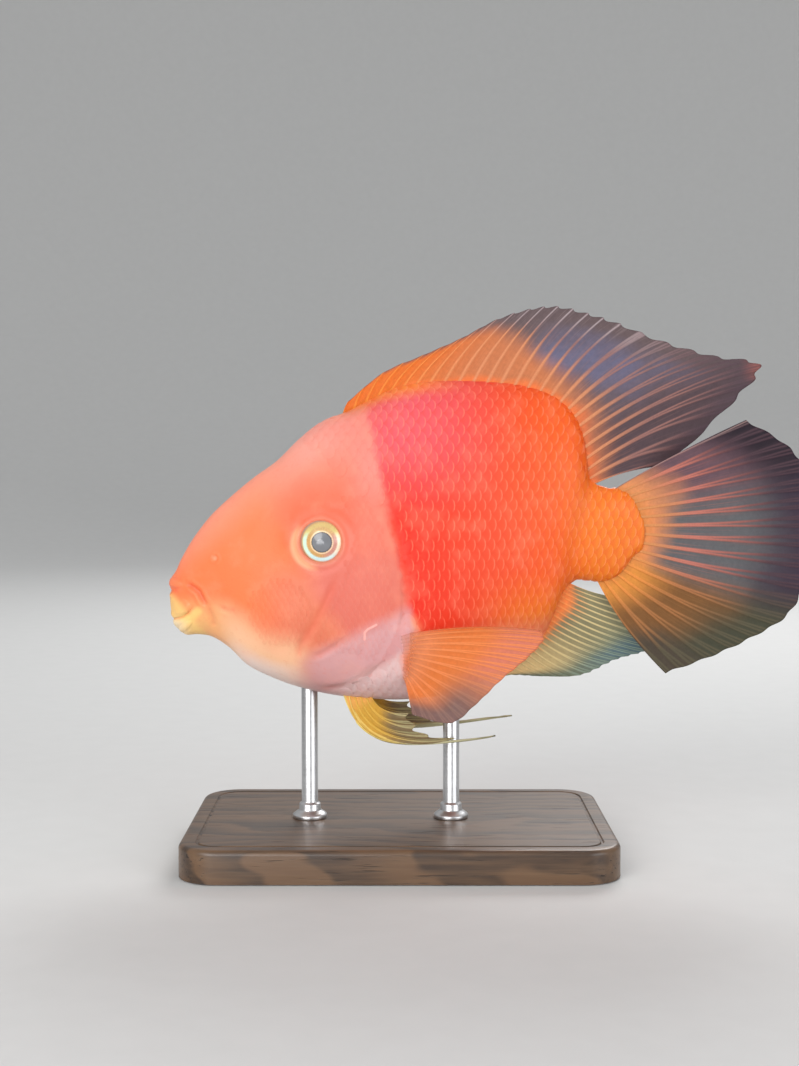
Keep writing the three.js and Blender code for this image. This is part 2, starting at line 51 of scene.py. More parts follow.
# Cross-sections of the body from the lips to the tail root, evenly spaced along the back:
# the back's x and z, the belly's x and z, and half the width
SECTIONS = [
    (-71.9, 86.8, -70.7, 71.0, 3.2),
    (-70.4, 89.0, -67.5, 68.5, 5.4),
    (-68.5, 93.1, -63.7, 68.6, 7.2),
    (-64.7, 99.4, -59.0, 67.8, 9.4),
    (-59.3, 106.3, -53.6, 64.4, 11.8),
    (-52.7, 112.5, -48.0, 59.0, 14.4),
    (-45.4, 118.5, -41.0, 55.2, 16.9),
    (-38.5, 123.7, -34.1, 52.5, 19.0),
    (-31.2, 130.8, -26.8, 50.5, 20.9),
    (-23.7, 136.1, -19.6, 49.1, 22.4),
    (-15.8, 139.0, -12.0, 48.3, 23.4),
    (-7.6, 142.9, -3.8, 47.8, 23.9),
    (1.3, 146.5, 4.4, 48.0, 23.6),
    (10.7, 147.8, 12.6, 49.2, 22.6),
    (20.8, 148.0, 20.2, 51.4, 20.8),
    (30.6, 147.5, 27.4, 55.1, 18.4),
    (40.1, 146.2, 34.4, 59.8, 15.8),
    (48.0, 143.2, 41.0, 64.4, 13.2),
    (53.6, 138.5, 46.1, 70.4, 11.0),
    (56.8, 132.2, 49.2, 77.0, 9.3),
    (58.4, 124.6, 51.7, 82.7, 7.9),
    (59.9, 117.7, 54.9, 85.8, 6.8),
    (64.4, 115.2, 59.3, 85.7, 5.9),
    (68.8, 114.8, 63.7, 85.5, 4.9),
    (72.9, 112.0, 68.8, 87.7, 3.6),
    (75.7, 106.0, 73.8, 94.3, 2.2),
]
LAST = len(SECTIONS) - 1
WIDEST = 0.45  # height of the widest point, as a share of the depth from the belly up
BELLY_FULLNESS = 2.2  # superellipse power below the widest point
CROWN_HEAD = 2.15  # the same above it, on the head
CROWN_BACK = 1.75  # and under the dorsal fin
CROWN_CHANGE = (8, 13)  # stations between which the head's power goes over to the back's
SNOUT_TIP = (-72.5, 80.5)
TAIL_ROOT_TIP = (76.6, 100.2)

# The tail swings to the left: x where the body and then the fin start to bend, and how fast
BEND_START, BEND_BODY = 20, 0.0015
BEND_FIN_START, BEND_FIN = 69, 0.001

# Head, in side view. A rim is its height, its way out from the eye's opening and its half width.
EYE = {"x": -23.7, "z": 99.0, "radius": 7.3, "half": 4.6, "sunk": 2.7, "opening": 6.2, "lean": 0.75}
CORNEA, CORNEA_REACH, IRIS_RADIUS = 0.35, 0.45, 6.0
EYE_RIMS = [(0.55, 0.9, 0.9), (0.35, 3.4, 2.6)]
SOCKET_DEPTH = 3.6
NOSTRIL = {"x": -57.1, "z": 93.4, "radius": 0.85, "rim": 0.15, "depth": 0.45}

# Lips are rolls drawn round the snout: x and z in front, how far the corners lie back, out and
# up, the roll's radius in front and at the corners, how much taller than deep it is, and how much
# of a lip's colour it takes
LIPS = {
    "snout": (-70.5, 85.0, 5.5, 5.2, -0.6, 2.2, 1.0, 1.0, 0.35),
    "upper": (-69.6, 78.2, 6.0, 6.2, 0.2, 2.4, 1.2, 1.75, 1),
    "lower": (-68.0, 70.9, 4.8, 5.2, 4.4, 1.9, 1.1, 1.0, 1),
}
LIPS_END = -52  # x behind which no lip reaches
LIP_BLEND = 0.5  # width over which a lip rounds off into the snout
MOUTH_LINE = [(-76.0, 73.2), (-70.6, 73.7), (-67.8, 74.5), (-65.9, 75.8), (-64.7, 77.4)]
LIP_RIDGE = [(-67.9, 71.6), (-64.6, 74.8), (-62.8, 76.6)]  # from the lower lip to the mouth's corner

# The gill cover's rear edge, its step and the groove behind it, and the edge's run over the nape
GILL_REAR = [
    (-8.4, 118.9), (-5.4, 110.0), (-3.8, 105.2), (-0.9, 96.9), (0.6, 87.4),
    (0.6, 77.6), (-1.3, 69.4), (-4.7, 62.8), (-12.6, 55.6), (-19.0, 53.0),
]
GILL_STEP, GILL_SLOPE, GILL_GROOVE = 0.6, 9, 0.3
HEAD_REAR = [(-16.6, 144.5), (-12.6, 131.0)] + GILL_REAR

COAT_DEPTH = 0.2  # the skin lies this far inside the body's form, to leave room for the scales
COAT_FRONT = (-48, -38)  # x over which that room opens behind the snout
COAT_REAR = (76, 72)  # x over which it closes on the tail root

# Folds of the head: each is a line with its depth and half width
PREOPERCLE = [(-18.6, 88.5), (-21.8, 81.4), (-26.4, 73.0), (-30.2, 67.4), (-31.6, 62.0)]
FOLDS = [
    ([(-86.0, 82.2), (-73.0, 82.4), (-69.0, 83.2)], 0.4, 0.7),
    ([(-66.4, 85.4), (-64.2, 84.1), (-62.4, 82.8), (-61.2, 80.6), (-59.8, 78.2)], 0.75, 0.75),
    ([(-59.8, 78.2), (-58.4, 75.0), (-57.6, 71.6)], 0.35, 1.1),
    ([(-55.8, 78.3), (-53.0, 77.3), (-50.6, 77.4)], 0.3, 0.7),
    (PREOPERCLE, 0.5, 1.1),
    ([(-14.7, 70.2), (-21.9, 65.5), (-26.2, 63.2)], 0.35, 0.8),
    ([(-9.6, 72.4), (-10.4, 67.6), (-12.6, 62.6)], 0.25, 1.0),
    ([(-25.2, 52.6), (-19.7, 53.2), (-15.5, 54.9), (-10.4, 58.2), (-6.0, 62.0)], 0.3, 0.9),
    ([(-24.0, 110.6), (-17.6, 108.6), (-12.6, 104.0)], 0.25, 1.3),
]

# Raised lines: the pectoral fin's foot and a fold low on the gill cover, whose pale colour is a
# painted highlight; each with its height and half width
STREAK = [(-10.6, 69.4), (-10.5, 71.6), (-9.6, 72.6), (-7.0, 74.0)]
ROLLS = [([(0.5, 71.5), (1.6, 58.0)], 0.9, 2.2), (STREAK, 0.25, 0.8)]
# Soft muscle on the cheek and a hollow ahead of the eye: x, z, reach along and up, and height
MUSCLES = [(-39, 78, 8, 9, 0.45), (-46, 101, 6, 7, -0.35)]
# The fleshy feet of the dorsal and the anal fin: height, half width, and the spans of x and of z
# over which the foot comes up
FIN_FEET = [(0.55, 2.6, (-18, -6), (120, 130)), (0.5, 2.4, (24, 32), (80, 70))]


def mix(a, b, t):
    return a + (b - a) * t


def smooth_step(low, high, value):
    """0 below low, 1 above high and a soft climb between; low may be the larger."""
    t = np.clip((value - low) / (high - low), 0, 1)
    return t * t * (3 - 2 * t)


def bell(gap, width):
    """1 where gap is 0, falling away on both sides over about the width."""
    return np.exp(-((gap / width) ** 2))


def smooth_max(a, b, width):
    """The larger of two fields, rounded where they are less than width apart and b is above 0."""
    near = np.maximum(width - np.abs(a - b), 0) / width * smooth_step(0, 0.5, b)
    return np.maximum(a, b) + near * near * width / 4


def along_rows(rows, t):
    """Smooth curve through evenly spaced rows of numbers, t from 0 at the first to 1 at the last."""
    rows = np.asarray(rows, float)
    span = len(rows) - 1
    place = np.asarray(t, float) * span
    i = np.clip(np.floor(place).astype(int), 0, span - 1)
    f = (place - i)[..., None]
    start, end = rows[i], rows[i + 1]
    slope0 = (end - rows[np.maximum(i - 1, 0)]) / 2
    slope1 = (rows[np.minimum(i + 2, span)] - start) / 2
    cubic = 2 * (start - end) + slope0 + slope1
    square = 3 * (end - start) - 2 * slope0 - slope1
    return start + f * (slope0 + f * (square + f * cubic))


def bend_at(x):
    """Sideways place of the middle plane."""
    body = np.clip(x - BEND_START, 0, BEND_FIN_START - BEND_START)
    fin = np.maximum(x - BEND_FIN_START, 0)
    slope = 2 * BEND_BODY * (BEND_FIN_START - BEND_START)
    return -(BEND_BODY * body * body + slope * fin + BEND_FIN * fin * fin)


def body_point(station, turn):
    """Point of the plain body. Stations count sections, and a turn goes round from the back over
    the left flank. Stations from -1 to 0 and past the last one close the two ends as domes."""
    station, turn = np.broadcast_arrays(np.asarray(station, float), np.asarray(turn, float))
    rows = along_rows(SECTIONS, np.clip(station, 0, LAST) / LAST)
    top_x, top_z, low_x, low_z, half_width = np.moveaxis(rows, -1, 0)
    up, out = np.cos(turn), np.sin(turn)
    crown = mix(CROWN_HEAD, CROWN_BACK, smooth_step(*CROWN_CHANGE, station))
    power = 2 / np.where(up > 0, crown, BELLY_FULLNESS)
    rise = np.abs(up) ** power
    share = np.where(up > 0, WIDEST + (1 - WIDEST) * rise, WIDEST * (1 - rise))
    x = mix(low_x, top_x, share)
    z = mix(low_z, top_z, share)
    side = -np.sign(out) * half_width * np.abs(out) ** power
    front, rear = np.clip(-station, 0, 1), np.clip(station - LAST, 0, 1)
    for tip, depth, roundness in ((SNOUT_TIP, front, 2), (TAIL_ROOT_TIP, rear, 1)):
        angle = depth * math.pi / 2
        x = np.where(depth > 0, mix(x, tip[0], np.sin(angle) ** roundness), x)
        z = np.where(depth > 0, mix(tip[1], z, np.cos(angle)), z)
        side = np.where(depth > 0, side * np.cos(angle), side)
    return np.stack([x, bend_at(x) + side, z], -1)


def unit(vectors):
    return vectors / np.maximum(np.linalg.norm(vectors, axis=-1, keepdims=True), 1e-9)


def body_normal(station, turn):
    """Outward direction of the plain body, evened out over the kink where its front dome begins."""
    dome_end, step, kink_step, kink_width = 0.97, 0.012, 0.4, 0.7
    station = np.clip(station, -dome_end, LAST + dome_end)
    reach = step + kink_step * bell(station, kink_width)
    along = body_point(station + reach, turn) - body_point(station - reach, turn)
    around = body_point(station, turn + step) - body_point(station, turn - step)
    return unit(np.cross(around, along))


def line_distance(points, line):
    """Distance in side view from each point to a line of (x, z) points, and the share along it."""
    line = np.asarray(line, float)
    best = np.full(len(points), 1e9)
    share = np.zeros(len(points))
    for k in range(len(line) - 1):
        span = line[k + 1] - line[k]
        away = points[:, [0, 2]] - line[k]
        t = np.clip(away @ span / (span @ span), 0, 1)
        gap = np.linalg.norm(away - t[:, None] * span, axis=1)
        nearer = gap < best
        best = np.where(nearer, gap, best)
        share = np.where(nearer, (k + t) / (len(line) - 1), share)
    return best, share


def line_x(line, z):
    """x at each height z of a line of (x, z) points that runs downwards."""
    xs, zs = np.array(line)[::-1].T
    return np.interp(z, zs, xs)


def lip_reach(points, normals, lip):
    """How far a lip's roll stands out along each normal, 0 where the normal misses it."""
    x, z, back, side, rise, front, corner, tall = lip
    turns = np.linspace(-math.pi / 2, math.pi / 2, 45)
    inward = 1 - np.cos(turns)
    centres = np.stack([x + back * inward, side * np.sin(turns), z + rise * inward], -1)
    radii = mix(front, corner, inward)
    flat = np.array([1, 1, 1 / tall])
    away = (points[:, None] - centres) * flat
    way = (normals * flat)[:, None]
    a = (way * way).sum(-1)
    b = (away * way).sum(-1)
    c = (away * away).sum(-1) - radii**2
    inside = b * b - a * c
    reach = np.where(inside > 0, (-b + np.sqrt(np.maximum(inside, 0))) / a, 0)
    # A normal that only grazes the roll rises less, and none rises further than the roll is thick
    reach *= smooth_step(0, 0.4, inside / (a * radii**2))
    return np.clip(reach, 0, 1.6 * radii).max(axis=1)


def relief(points, normals):
    """What the plain body lacks: how far the skin stands off it, and masks for its colours, among them
    the painted shade in the folds' creases and in the lips' cleft.
    """
    x, z = points[:, 0], points[:, 2]
    height = -COAT_DEPTH * smooth_step(*COAT_FRONT, x) * smooth_step(*COAT_REAR, x)
    lip = np.zeros(len(points))
    front = x < LIPS_END
    for *shape, tint in LIPS.values():
        reach = lip_reach(points[front], normals[front], shape)
        height[front] = smooth_max(height[front], reach, LIP_BLEND)
        lip[front] = np.maximum(lip[front], smooth_step(0.1, 1.4, reach) * tint)

    # The lips part in a cleft, which narrows and deepens towards the corner between soft rolls
    gape, share = line_distance(points, MOUTH_LINE)
    # The cleft also marks where painted shade darkens the parting of the lips
    cleft = 1 / (1 + (gape / mix(0.32, 0.24, share)) ** 4) * smooth_step(-63.9, -66.2, x)
    height -= mix(0.35, 0.55, share) * cleft
    height += 0.3 * bell(gape - 1.4, 1.0) * smooth_step(-62.5, -66.5, x)

    # Each fold is a dip with a low swelling beside it, and fades at both ends. Its crease is also
    # darkened with painted shade.
    fold_shade = np.zeros(len(points))
    for line, depth, half in FOLDS:
        gap, share = line_distance(points, line)
        ends = np.clip(np.sin(math.pi * np.clip(share, 0.03, 0.97)) * 2.2, 0, 1)
        dip = bell(gap, half) * ends
        swell = bell(gap - 2.1 * half, half) * ends
        height += depth * (0.3 * swell - dip)
        fold_shade = np.maximum(fold_shade, dip * min(depth * 1.6, 1))

    # The gill cover lies proud of the flank, with a sharp rear edge and a groove behind it
    gap = line_distance(points, GILL_REAR)[0]
    edge = line_x(GILL_REAR, z)
    ahead = smooth_step(0.9, -0.6, x - edge) * smooth_step(116, 104, z) * smooth_step(51, 56, z)
    behind = bell(gap - 1.3, 1.0) * (1 - ahead) * smooth_step(114, 96, z) * smooth_step(50, 55, z)
    height += GILL_STEP * ahead * bell(gap, GILL_SLOPE) - GILL_GROOVE * behind
    # The groove behind the edge is darkened with painted shade as well
    fold_shade = np.maximum(fold_shade, 0.8 * behind * (x > edge - 1))

    # Eye socket: soft rims, and a floor that drops away under the eyeball
    gap = np.hypot(x - EYE["x"], z - EYE["z"]) - EYE["opening"]
    for rise, out, half in EYE_RIMS:
        height += rise * bell(gap - out, half)
    height -= SOCKET_DEPTH * smooth_step(0.15, -1.5, gap)
    socket = bell(np.maximum(gap - 0.3, 0), 0.8)

    gap = np.hypot(x - NOSTRIL["x"], z - NOSTRIL["z"]) - NOSTRIL["radius"]
    pit = smooth_step(0.25, -0.45, gap)
    height += NOSTRIL["rim"] * bell(gap - 0.5, 0.5) - NOSTRIL["depth"] * pit

    flank = np.abs(points[:, 1] - bend_at(x))
    for rise, half, x_span, z_span in FIN_FEET:
        height += rise * bell(flank, half) * smooth_step(*x_span, x) * smooth_step(*z_span, z)
    for line, rise, half in ROLLS:
        height += rise * bell(line_distance(points, line)[0], half)
    for mid_x, mid_z, reach_x, reach_z, rise in MUSCLES:
        height += rise * bell(np.hypot((x - mid_x) / reach_x, (z - mid_z) / reach_z), 1)
    return height, {"fold_shade": fold_shade, "lip": lip, "cleft_shade": cleft, "socket": socket, "nostril": pit}


def skin_surface(station, turn):
    """Points, normals and masks of the finished skin."""
    points = body_point(station, turn).reshape(-1, 3)
    normals = body_normal(station, turn).reshape(-1, 3)
    height, masks = relief(points, normals)
    return points + normals * height[:, None], normals, masks


# The skin's rings, as spans of stations and their counts, closest at the mouth and the eye
RING_SPANS = [(-1, 0, 24), (0, 4.2, 90), (4.2, 12.6, 142), (12.6, LAST, 68), (LAST, LAST + 1, 8)]
RING_STATIONS = np.concatenate([np.linspace(*span)[:-1] for span in RING_SPANS])[1:]
TURN_COUNT = 288
HALF_TURNS = TURN_COUNT // 2
EYE_STATION, EYE_TURN, EYE_SPAN = 8, 1.36, 0.16


def spread_turns():
    """Turns from the back to the belly, evenly spaced on the flank and closer round the eye."""
    turn = np.linspace(0, math.pi, 721)
    speed = np.linalg.norm(np.gradient(body_point(EYE_STATION, turn), axis=0), axis=1)
    weight = speed / speed.mean() + 0.35 + 0.8 * bell(turn - EYE_TURN, EYE_SPAN)
    total = np.concatenate([[0], np.cumsum((weight[1:] + weight[:-1]) / 2)])
    half = np.interp(np.linspace(0, total[-1], HALF_TURNS + 1), total, turn)
    return np.concatenate([half, 2 * math.pi - half[-2:0:-1]])


TURNS = spread_turns()


# Meshes

def select_only(piece):
    bpy.ops.object.select_all(action="DESELECT")
    piece.select_set(True)
    bpy.context.view_layer.objects.active = piece


def edit_all():
    bpy.ops.object.mode_set(mode="EDIT")
    bpy.ops.mesh.select_all(action="SELECT")


def leave_edit():
    bpy.ops.object.mode_set(mode="OBJECT")


def link_mesh(name, points, edges, faces):
    mesh = bpy.data.meshes.new(name)
    mesh.from_pydata(points, edges, faces)
    piece = bpy.data.objects.new(name, mesh)
    bpy.context.scene.collection.objects.link(piece)
    return piece


def vertex_places(piece):
    places = np.empty(len(piece.data.vertices) * 3)
    piece.data.vertices.foreach_get("co", places)
    return places.reshape(-1, 3)


def move_vertices(piece, points):
    """Writes points in millimetres to a mesh in metres."""
    piece.data.vertices.foreach_set("co", (np.asarray(points) * MM).ravel())
    piece.data.update()


def give_masks(piece, masks):
    for name, values in masks.items():
        mask = piece.data.attributes.new(name, "FLOAT", "POINT")
        mask.data.foreach_set("value", np.asarray(values, np.float32))


def face_outwards(piece):
    select_only(piece)
    edit_all()
    bpy.ops.mesh.normals_make_consistent(inside=False)
    leave_edit()


def smooth_faces(piece, sharp_angle=None):
    select_only(piece)
    if sharp_angle is None:
        bpy.ops.object.shade_smooth()
    else:
        bpy.ops.object.shade_smooth_by_angle(angle=math.radians(sharp_angle))


def finish_piece(piece, name, slot, material, *nodes):
    piece.name = name
    piece.data.name = name
    piece.data.materials.append(material)
    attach(piece, "root")
    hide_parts(*nodes)


def make_skin(material):
    """One skin from the lips to the tail root: a ball whose rings are drawn along the body."""
    rings = len(RING_STATIONS) + 1
    bpy.ops.mesh.primitive_uv_sphere_add(segments=TURN_COUNT, ring_count=rings, radius=1)
    skin = bpy.context.object
    ball = vertex_places(skin)
    ring = np.rint(np.arccos(np.clip(ball[:, 2], -1, 1)) / math.pi * rings).astype(int)
    segment = np.rint(np.arctan2(ball[:, 1], ball[:, 0]) / (2 * math.pi) * TURN_COUNT).astype(int)
    stations = np.concatenate([[-1.0], RING_STATIONS, [LAST + 1.0]])[ring]
    points, _, masks = skin_surface(stations, TURNS[segment % TURN_COUNT])
    move_vertices(skin, points)
    give_masks(skin, masks)
    face_outwards(skin)
    smooth_faces(skin)
    finish_piece(
        skin, "skin", "head_skin", material,
        "head", "lower_jaw", "gill_cover_left", "gill_cover_right", "trunk", "tail_root",
    )


# Scales: the body's and the smaller ones of the head. Each is tilted up towards its rear edge.

SCALE = {
    "pitch": 3.2, "row": 3.0, "length": 5.0, "height": 6.3,
    "thick": 0.11, "lift": 0.03, "tilt": 0.06, "rows": range(-22, 24),
}
SMALL_SCALE = {
    "pitch": 2.1, "row": 1.95, "length": 3.2, "height": 4.0,
    "thick": 0.06, "lift": 0.0, "tilt": 0.035, "rows": range(-12, 26),
}
SCALE_COLUMNS = 60
MIDLINE_Z = 99.5  # the rows of scales run level with this height
OVER_EDGE = 0.6  # turn past the back and the belly that the tables reach
SCALE_SEED = 7
SCALE_VARIES = {"size": 0.05, "twist": 0.035, "lift": 0.012}
NAPE_Z = 112  # above this height the body's scales run forwards over the nape
BELLY_Z = 49.5  # and below this one there are none
UNWRAP_PATCH = 0.003  # size of a scale's patch in the OFBake unwrap


class ScaleMap:
    """Turns distances over the flank, in millimetres, into stations and turns."""

    def __init__(self):
        self.stations = np.linspace(0, LAST + 0.6, 380)
        self.turns = np.linspace(-OVER_EDGE, math.pi + OVER_EDGE, 420)
        s, t = np.meshgrid(self.stations, self.turns, indexing="ij")
        points = body_point(s, t)
        step = np.linalg.norm(np.diff(points, axis=1), axis=2)
        arc = np.concatenate([np.zeros((len(s), 1)), np.cumsum(step, axis=1)], axis=1)
        flank = slice(80, -80)  # leaves out the back and the belly, where heights repeat
        mid = np.array([np.interp(-MIDLINE_Z, -row[flank, 2], self.turns[flank]) for row in points])
        start = np.array([np.interp(turn, self.turns, row) for turn, row in zip(mid, arc)])
        self.arc = arc - start[:, None]
        along = body_point(self.stations, mid)
        step = np.linalg.norm(np.diff(along, axis=0), axis=1)
        self.length = np.concatenate([[0], np.cumsum(step)])

    def place(self, u, v):
        """Station and turn at u along the midline and v down from it."""
        station = np.interp(u, self.length, self.stations)
        row = np.clip(np.searchsorted(self.stations, station) - 1, 0, len(self.stations) - 2)
        f = (station - self.stations[row]) / (self.stations[row + 1] - self.stations[row])
        turn = np.empty_like(station)
        for r in np.unique(row):
            here = row == r
            low = np.interp(v[here], self.arc[r], self.turns)
            high = np.interp(v[here], self.arc[r + 1], self.turns)
            turn[here] = mix(low, high, f[here])
        return station, turn


def scale_template():
    """Vertices and faces of one scale, 1 long and 1 tall: a plate with a crowned top, a squarer
    root to the left and a round rear edge."""
    bpy.ops.mesh.primitive_circle_add(vertices=16, radius=0.5, fill_type="NGON")
    plate = bpy.context.object
    edit_all()
    bpy.ops.mesh.extrude_region_move(TRANSFORM_OT_translate={"value": (0, 0, 0.45)})
    bpy.ops.mesh.inset(thickness=0.045, depth=0.35)
    bpy.ops.mesh.inset(thickness=0.16, depth=0.2)
    leave_edit()
    places = vertex_places(plate)
    faces = [tuple(face.vertices) for face in plate.data.polygons]
    bpy.data.objects.remove(plate)
    places[:, 0] *= np.where(places[:, 0] < 0, 0.9, 1)
    return places, faces


def scale_grid(scale_map, kind):
    """Staggered places u and v over the flank, with their stations, turns, x and z."""
    row, column = np.meshgrid(kind["rows"], range(SCALE_COLUMNS), indexing="ij")
    u = (column * kind["pitch"] + 0.5 * kind["pitch"] * (row % 2)).ravel()
    v = ((row + 0.5) * kind["row"]).ravel()
    within = u < scale_map.length[-1] - 1.5
    u, v = u[within], v[within]
    station, turn = scale_map.place(u, v)
    x, _, z = body_point(station, turn).T
    return u, v, station, turn, x, z


def body_scale_spots(scale_map):
    """Centres u and v of the body's scales on one flank, and their sizes."""
    u, v, station, turn, x, z = scale_grid(scale_map, SCALE)
    ahead = line_x(HEAD_REAR, z) - x
    trunk = ahead < -1.4
    nape = (z > NAPE_Z) & (ahead < 3 + 0.75 * np.maximum(z - NAPE_Z, 0))
    keep = (turn > 0) & (turn < math.pi) & (station < LAST + 0.1) & (trunk | nape) & (z > BELLY_Z)
    size = mix(1, 0.8, smooth_step(52, 72, x)) * mix(1, 0.72, smooth_step(2, 26, ahead))
    return u[keep], v[keep], size[keep]


def head_scale_spots(scale_map):
    """Centres of the smaller scales on the gill cover and the cheek, and their sizes."""
    u, v, _, _, x, z = scale_grid(scale_map, SMALL_SCALE)
    ahead = line_x(HEAD_REAR, z) - x
    crease_x = line_x(PREOPERCLE, z)
    eye_gap = np.hypot(x - EYE["x"], z - EYE["z"])
    # How far inside its region a scale lies: towards the region's edge the scales grow small
    gill = np.minimum.reduce([ahead - 2.2, x - crease_x - 1.6, 113 - z, z - 60 + 0.3 * x])
    cheek = np.minimum(11 - np.hypot((x + 36) * 1.05, z - 77), crease_x - x - 1.6)
    inside = np.minimum(np.maximum(gill, cheek), eye_gap - EYE["opening"] - 3.4)
    keep = inside > 0
    size = mix(0.5, 1.0, smooth_step(0, 5, inside)) * np.where(gill > cheek, 1.0, 0.9)
    return u[keep], v[keep], size[keep]


def lay_scales(name, side, scale_map, groups, material, *nodes):
    """Lays every scale of one flank over the skin and joins them as one mesh."""
    template, faces = scale_template()
    draw = np.random.default_rng(SCALE_SEED)
    all_points, all_unwrap = [], []
    for kind, (u, v, size) in groups:
        count = len(u)
        grown = size * draw.uniform(1 - SCALE_VARIES["size"], 1 + SCALE_VARIES["size"], count)
        twist = draw.normal(0, SCALE_VARIES["twist"], count)[:, None]
        a = template[:, 0] * kind["length"]
        b = template[:, 1] * kind["height"]
        ahead = grown[:, None] * (a * np.cos(twist) - b * np.sin(twist))
        down = grown[:, None] * (a * np.sin(twist) + b * np.cos(twist))
        station, turn = scale_map.place((u[:, None] + ahead).ravel(), (v[:, None] + down).ravel())
        points, normals, _ = skin_surface(station, side * turn)
        rise = kind["lift"] + template[:, 2] * kind["thick"] + kind["tilt"] * (a + 0.5)
        rise = rise + draw.uniform(-SCALE_VARIES["lift"], SCALE_VARIES["lift"], count)[:, None]
        all_points.append(points + normals * (grown[:, None] * rise).reshape(-1, 1))
        # Each scale is unwrapped as a small patch at its root's place on the flank
        station, turn = scale_map.place(u - kind["length"] / 2, v)
        around = np.interp(turn, TURNS[:HALF_TURNS + 1], np.linspace(0, 0.5, HALF_TURNS + 1))
        along = np.interp(station, RING_STATIONS, np.linspace(0, 1, len(RING_STATIONS)))
        all_unwrap.append(np.stack([
            (0.5 + side * around[:, None] + UNWRAP_PATCH * template[:, 1]).ravel(),
            (0.01 + 0.98 * along[:, None] + UNWRAP_PATCH * template[:, 0]).ravel(),
        ], 1))
    points = np.concatenate(all_points)
    size = len(template)
    count = len(points) // size
    all_faces = [tuple(i + size * k for i in face) for k in range(count) for face in faces]
    scales = link_mesh(name, (points * MM).tolist(), [], all_faces)
    corners = np.empty(len(scales.data.loops), int)
    scales.data.loops.foreach_get("vertex_index", corners)
    plate = np.tile(template[:, :2] + 0.5, (count, 1))
    for layer, places in (("OFBake", np.concatenate(all_unwrap)), ("plate", plate)):
        scales.data.uv_layers.new(name=layer).data.foreach_set("uv", places[corners].ravel())
    face_outwards(scales)
    smooth_faces(scales, 55)
    finish_piece(scales, name, "scaled_skin", material, *nodes)


# Fins. "tips" are (x, z) points where the rays end. A root is given in stations along the back or
# the belly, round an arc of the tail root, by heights on a section, or by its own places. "bow" is
# how far a ray bows as a share of its length, and "lean" how far the tips stand out sideways.
# "build" is what make_fin takes.

SIDES = {"left": -1, "right": 1}
SUNK = 2.4  # how far a fin's root runs into the body

DORSAL = {
    "turn": 0.0, "from": 9.75, "to": 21.4, "bow": 0.05, "lean": 3.2,
    "tips": [
        (-16.1, 142.0), (-5.0, 151.1), (7.6, 156.6), (19.6, 161.9), (30.6, 167.7),
        (41.0, 171.0), (49.8, 171.8), (59.3, 169.6), (69.4, 166.3), (83.6, 160.6),
        (99.4, 156.2), (113.6, 153.3), (105.1, 141.7), (84.6, 121.8),
    ],
    "build": {"rays": 27, "spines": 0.66, "root": 1.6, "rows": 56},
}
ANAL = {
    "turn": math.pi, "from": 14.35, "to": 20.6, "bow": -0.05, "lean": 3.0,
    "tips": [
        (27.1, 54.1), (35.3, 55.7), (45.7, 55.1), (57.7, 55.5),
        (68.8, 60.4), (80.5, 63.7), (90.9, 68.8), (75.7, 79.5),
    ],
    "build": {"rays": 27, "columns": 12, "spines": 0.42, "root": 1.5, "ridge": 0.26, "rows": 44},
}
TAIL = {
    "x": 62.4, "z": 100.6, "reach_x": 10.2, "reach_z": 12.6, "angles": (78, -98),
    "bow": (0.015, -0.045),
    "tips": [
        (106.6, 136.0), (118.3, 128.7), (125.6, 119.3), (128.1, 109.2), (128.1, 98.4),
        (124.9, 86.8), (119.6, 76.0), (108.8, 68.5), (96.5, 62.2), (83.3, 56.9),
    ],
    "build": {"rays": 17, "rows": 64, "columns": 24, "root": 1.4, "margin": 0.012},
}
PECTORAL = {
    "section": 11.7, "heights": (0.235, 0.1), "bow": 0.05, "belly": 3,
    "lean": {"left": 12, "right": 14},
    "tips": [
        (41.6, 73.6), (42.6, 70.4), (37.4, 64.6), (30.2, 58.4), (22.8, 51.0), (15.2, 45.2),
        (3.8, 47.6),
    ],
    "build": {
        "rays": 13, "membrane": 0.22, "root": 1.6, "ridge": 0.08, "rows": 44, "columns": 18,
        "margin": 0.008, "pleat": 0.12,
    },
}
# Each pelvic ray is a curve with a middle and an end: x and z of both
PELVIC = {
    "root_x": (-17.4, -8.6), "root_z": 49.6, "root_y": (5.2, 6.0),
    "lean": {"left": 3.4, "right": 3.8},
    "left": [
        (-13.6, 36.4, 0.8, 35.0), (-12.6, 30.4, 30.0, 37.5), (-10.4, 33.4, 17.4, 36.9),
        (-8.8, 37.2, 8.4, 38.2), (-7.6, 40.8, 5.0, 41.2), (-6.4, 44.4, 2.8, 45.0),
    ],
    "right": [
        (-14.4, 38.6, 0.4, 37.2), (-12.2, 33.4, 36.3, 41.3), (-10.2, 35.6, 18.6, 38.9),
        (-8.8, 38.6, 9.2, 40.2), (-7.4, 41.6, 5.6, 42.6), (-6.2, 44.8, 3.2, 45.6),
    ],
    "build": {
        "rays": 6, "root": 1.4, "ridge": 0.26, "rows": 64, "columns": 24, "margin": 0.08,
        "spines": 0.15, "pleat": 0.5, "filament": 0.2,
    },
}
FILAMENT_HALF = 0.026  # half the width of the pelvic fin's thread, as a share of the fin's


def bowed_ray(root, tip, bow, u):
    """Point on a ray that bows by a share of its length; positive bows upwards."""
    along = tip - root
    up = np.stack([-along[..., 2], np.zeros_like(u), along[..., 0]], -1)
    return root + along * u[..., None] + up * (4 * bow * u * (1 - u))[..., None]


# A fin's place(t, u) is its surface: t goes from its first ray to its last, u from root to margin

def median_fin_place(fin):
    def place(t, u):
        root = body_point(mix(fin["from"], fin["to"], t), fin["turn"])
        tip_x, tip_z = along_rows(fin["tips"], t).T
        point = bowed_ray(root, np.stack([tip_x, root[:, 1], tip_z], -1), fin["bow"], u)
        point[:, 1] += fin["lean"] * np.maximum(t, 0) ** 1.5 * u * u
        return point
    return place


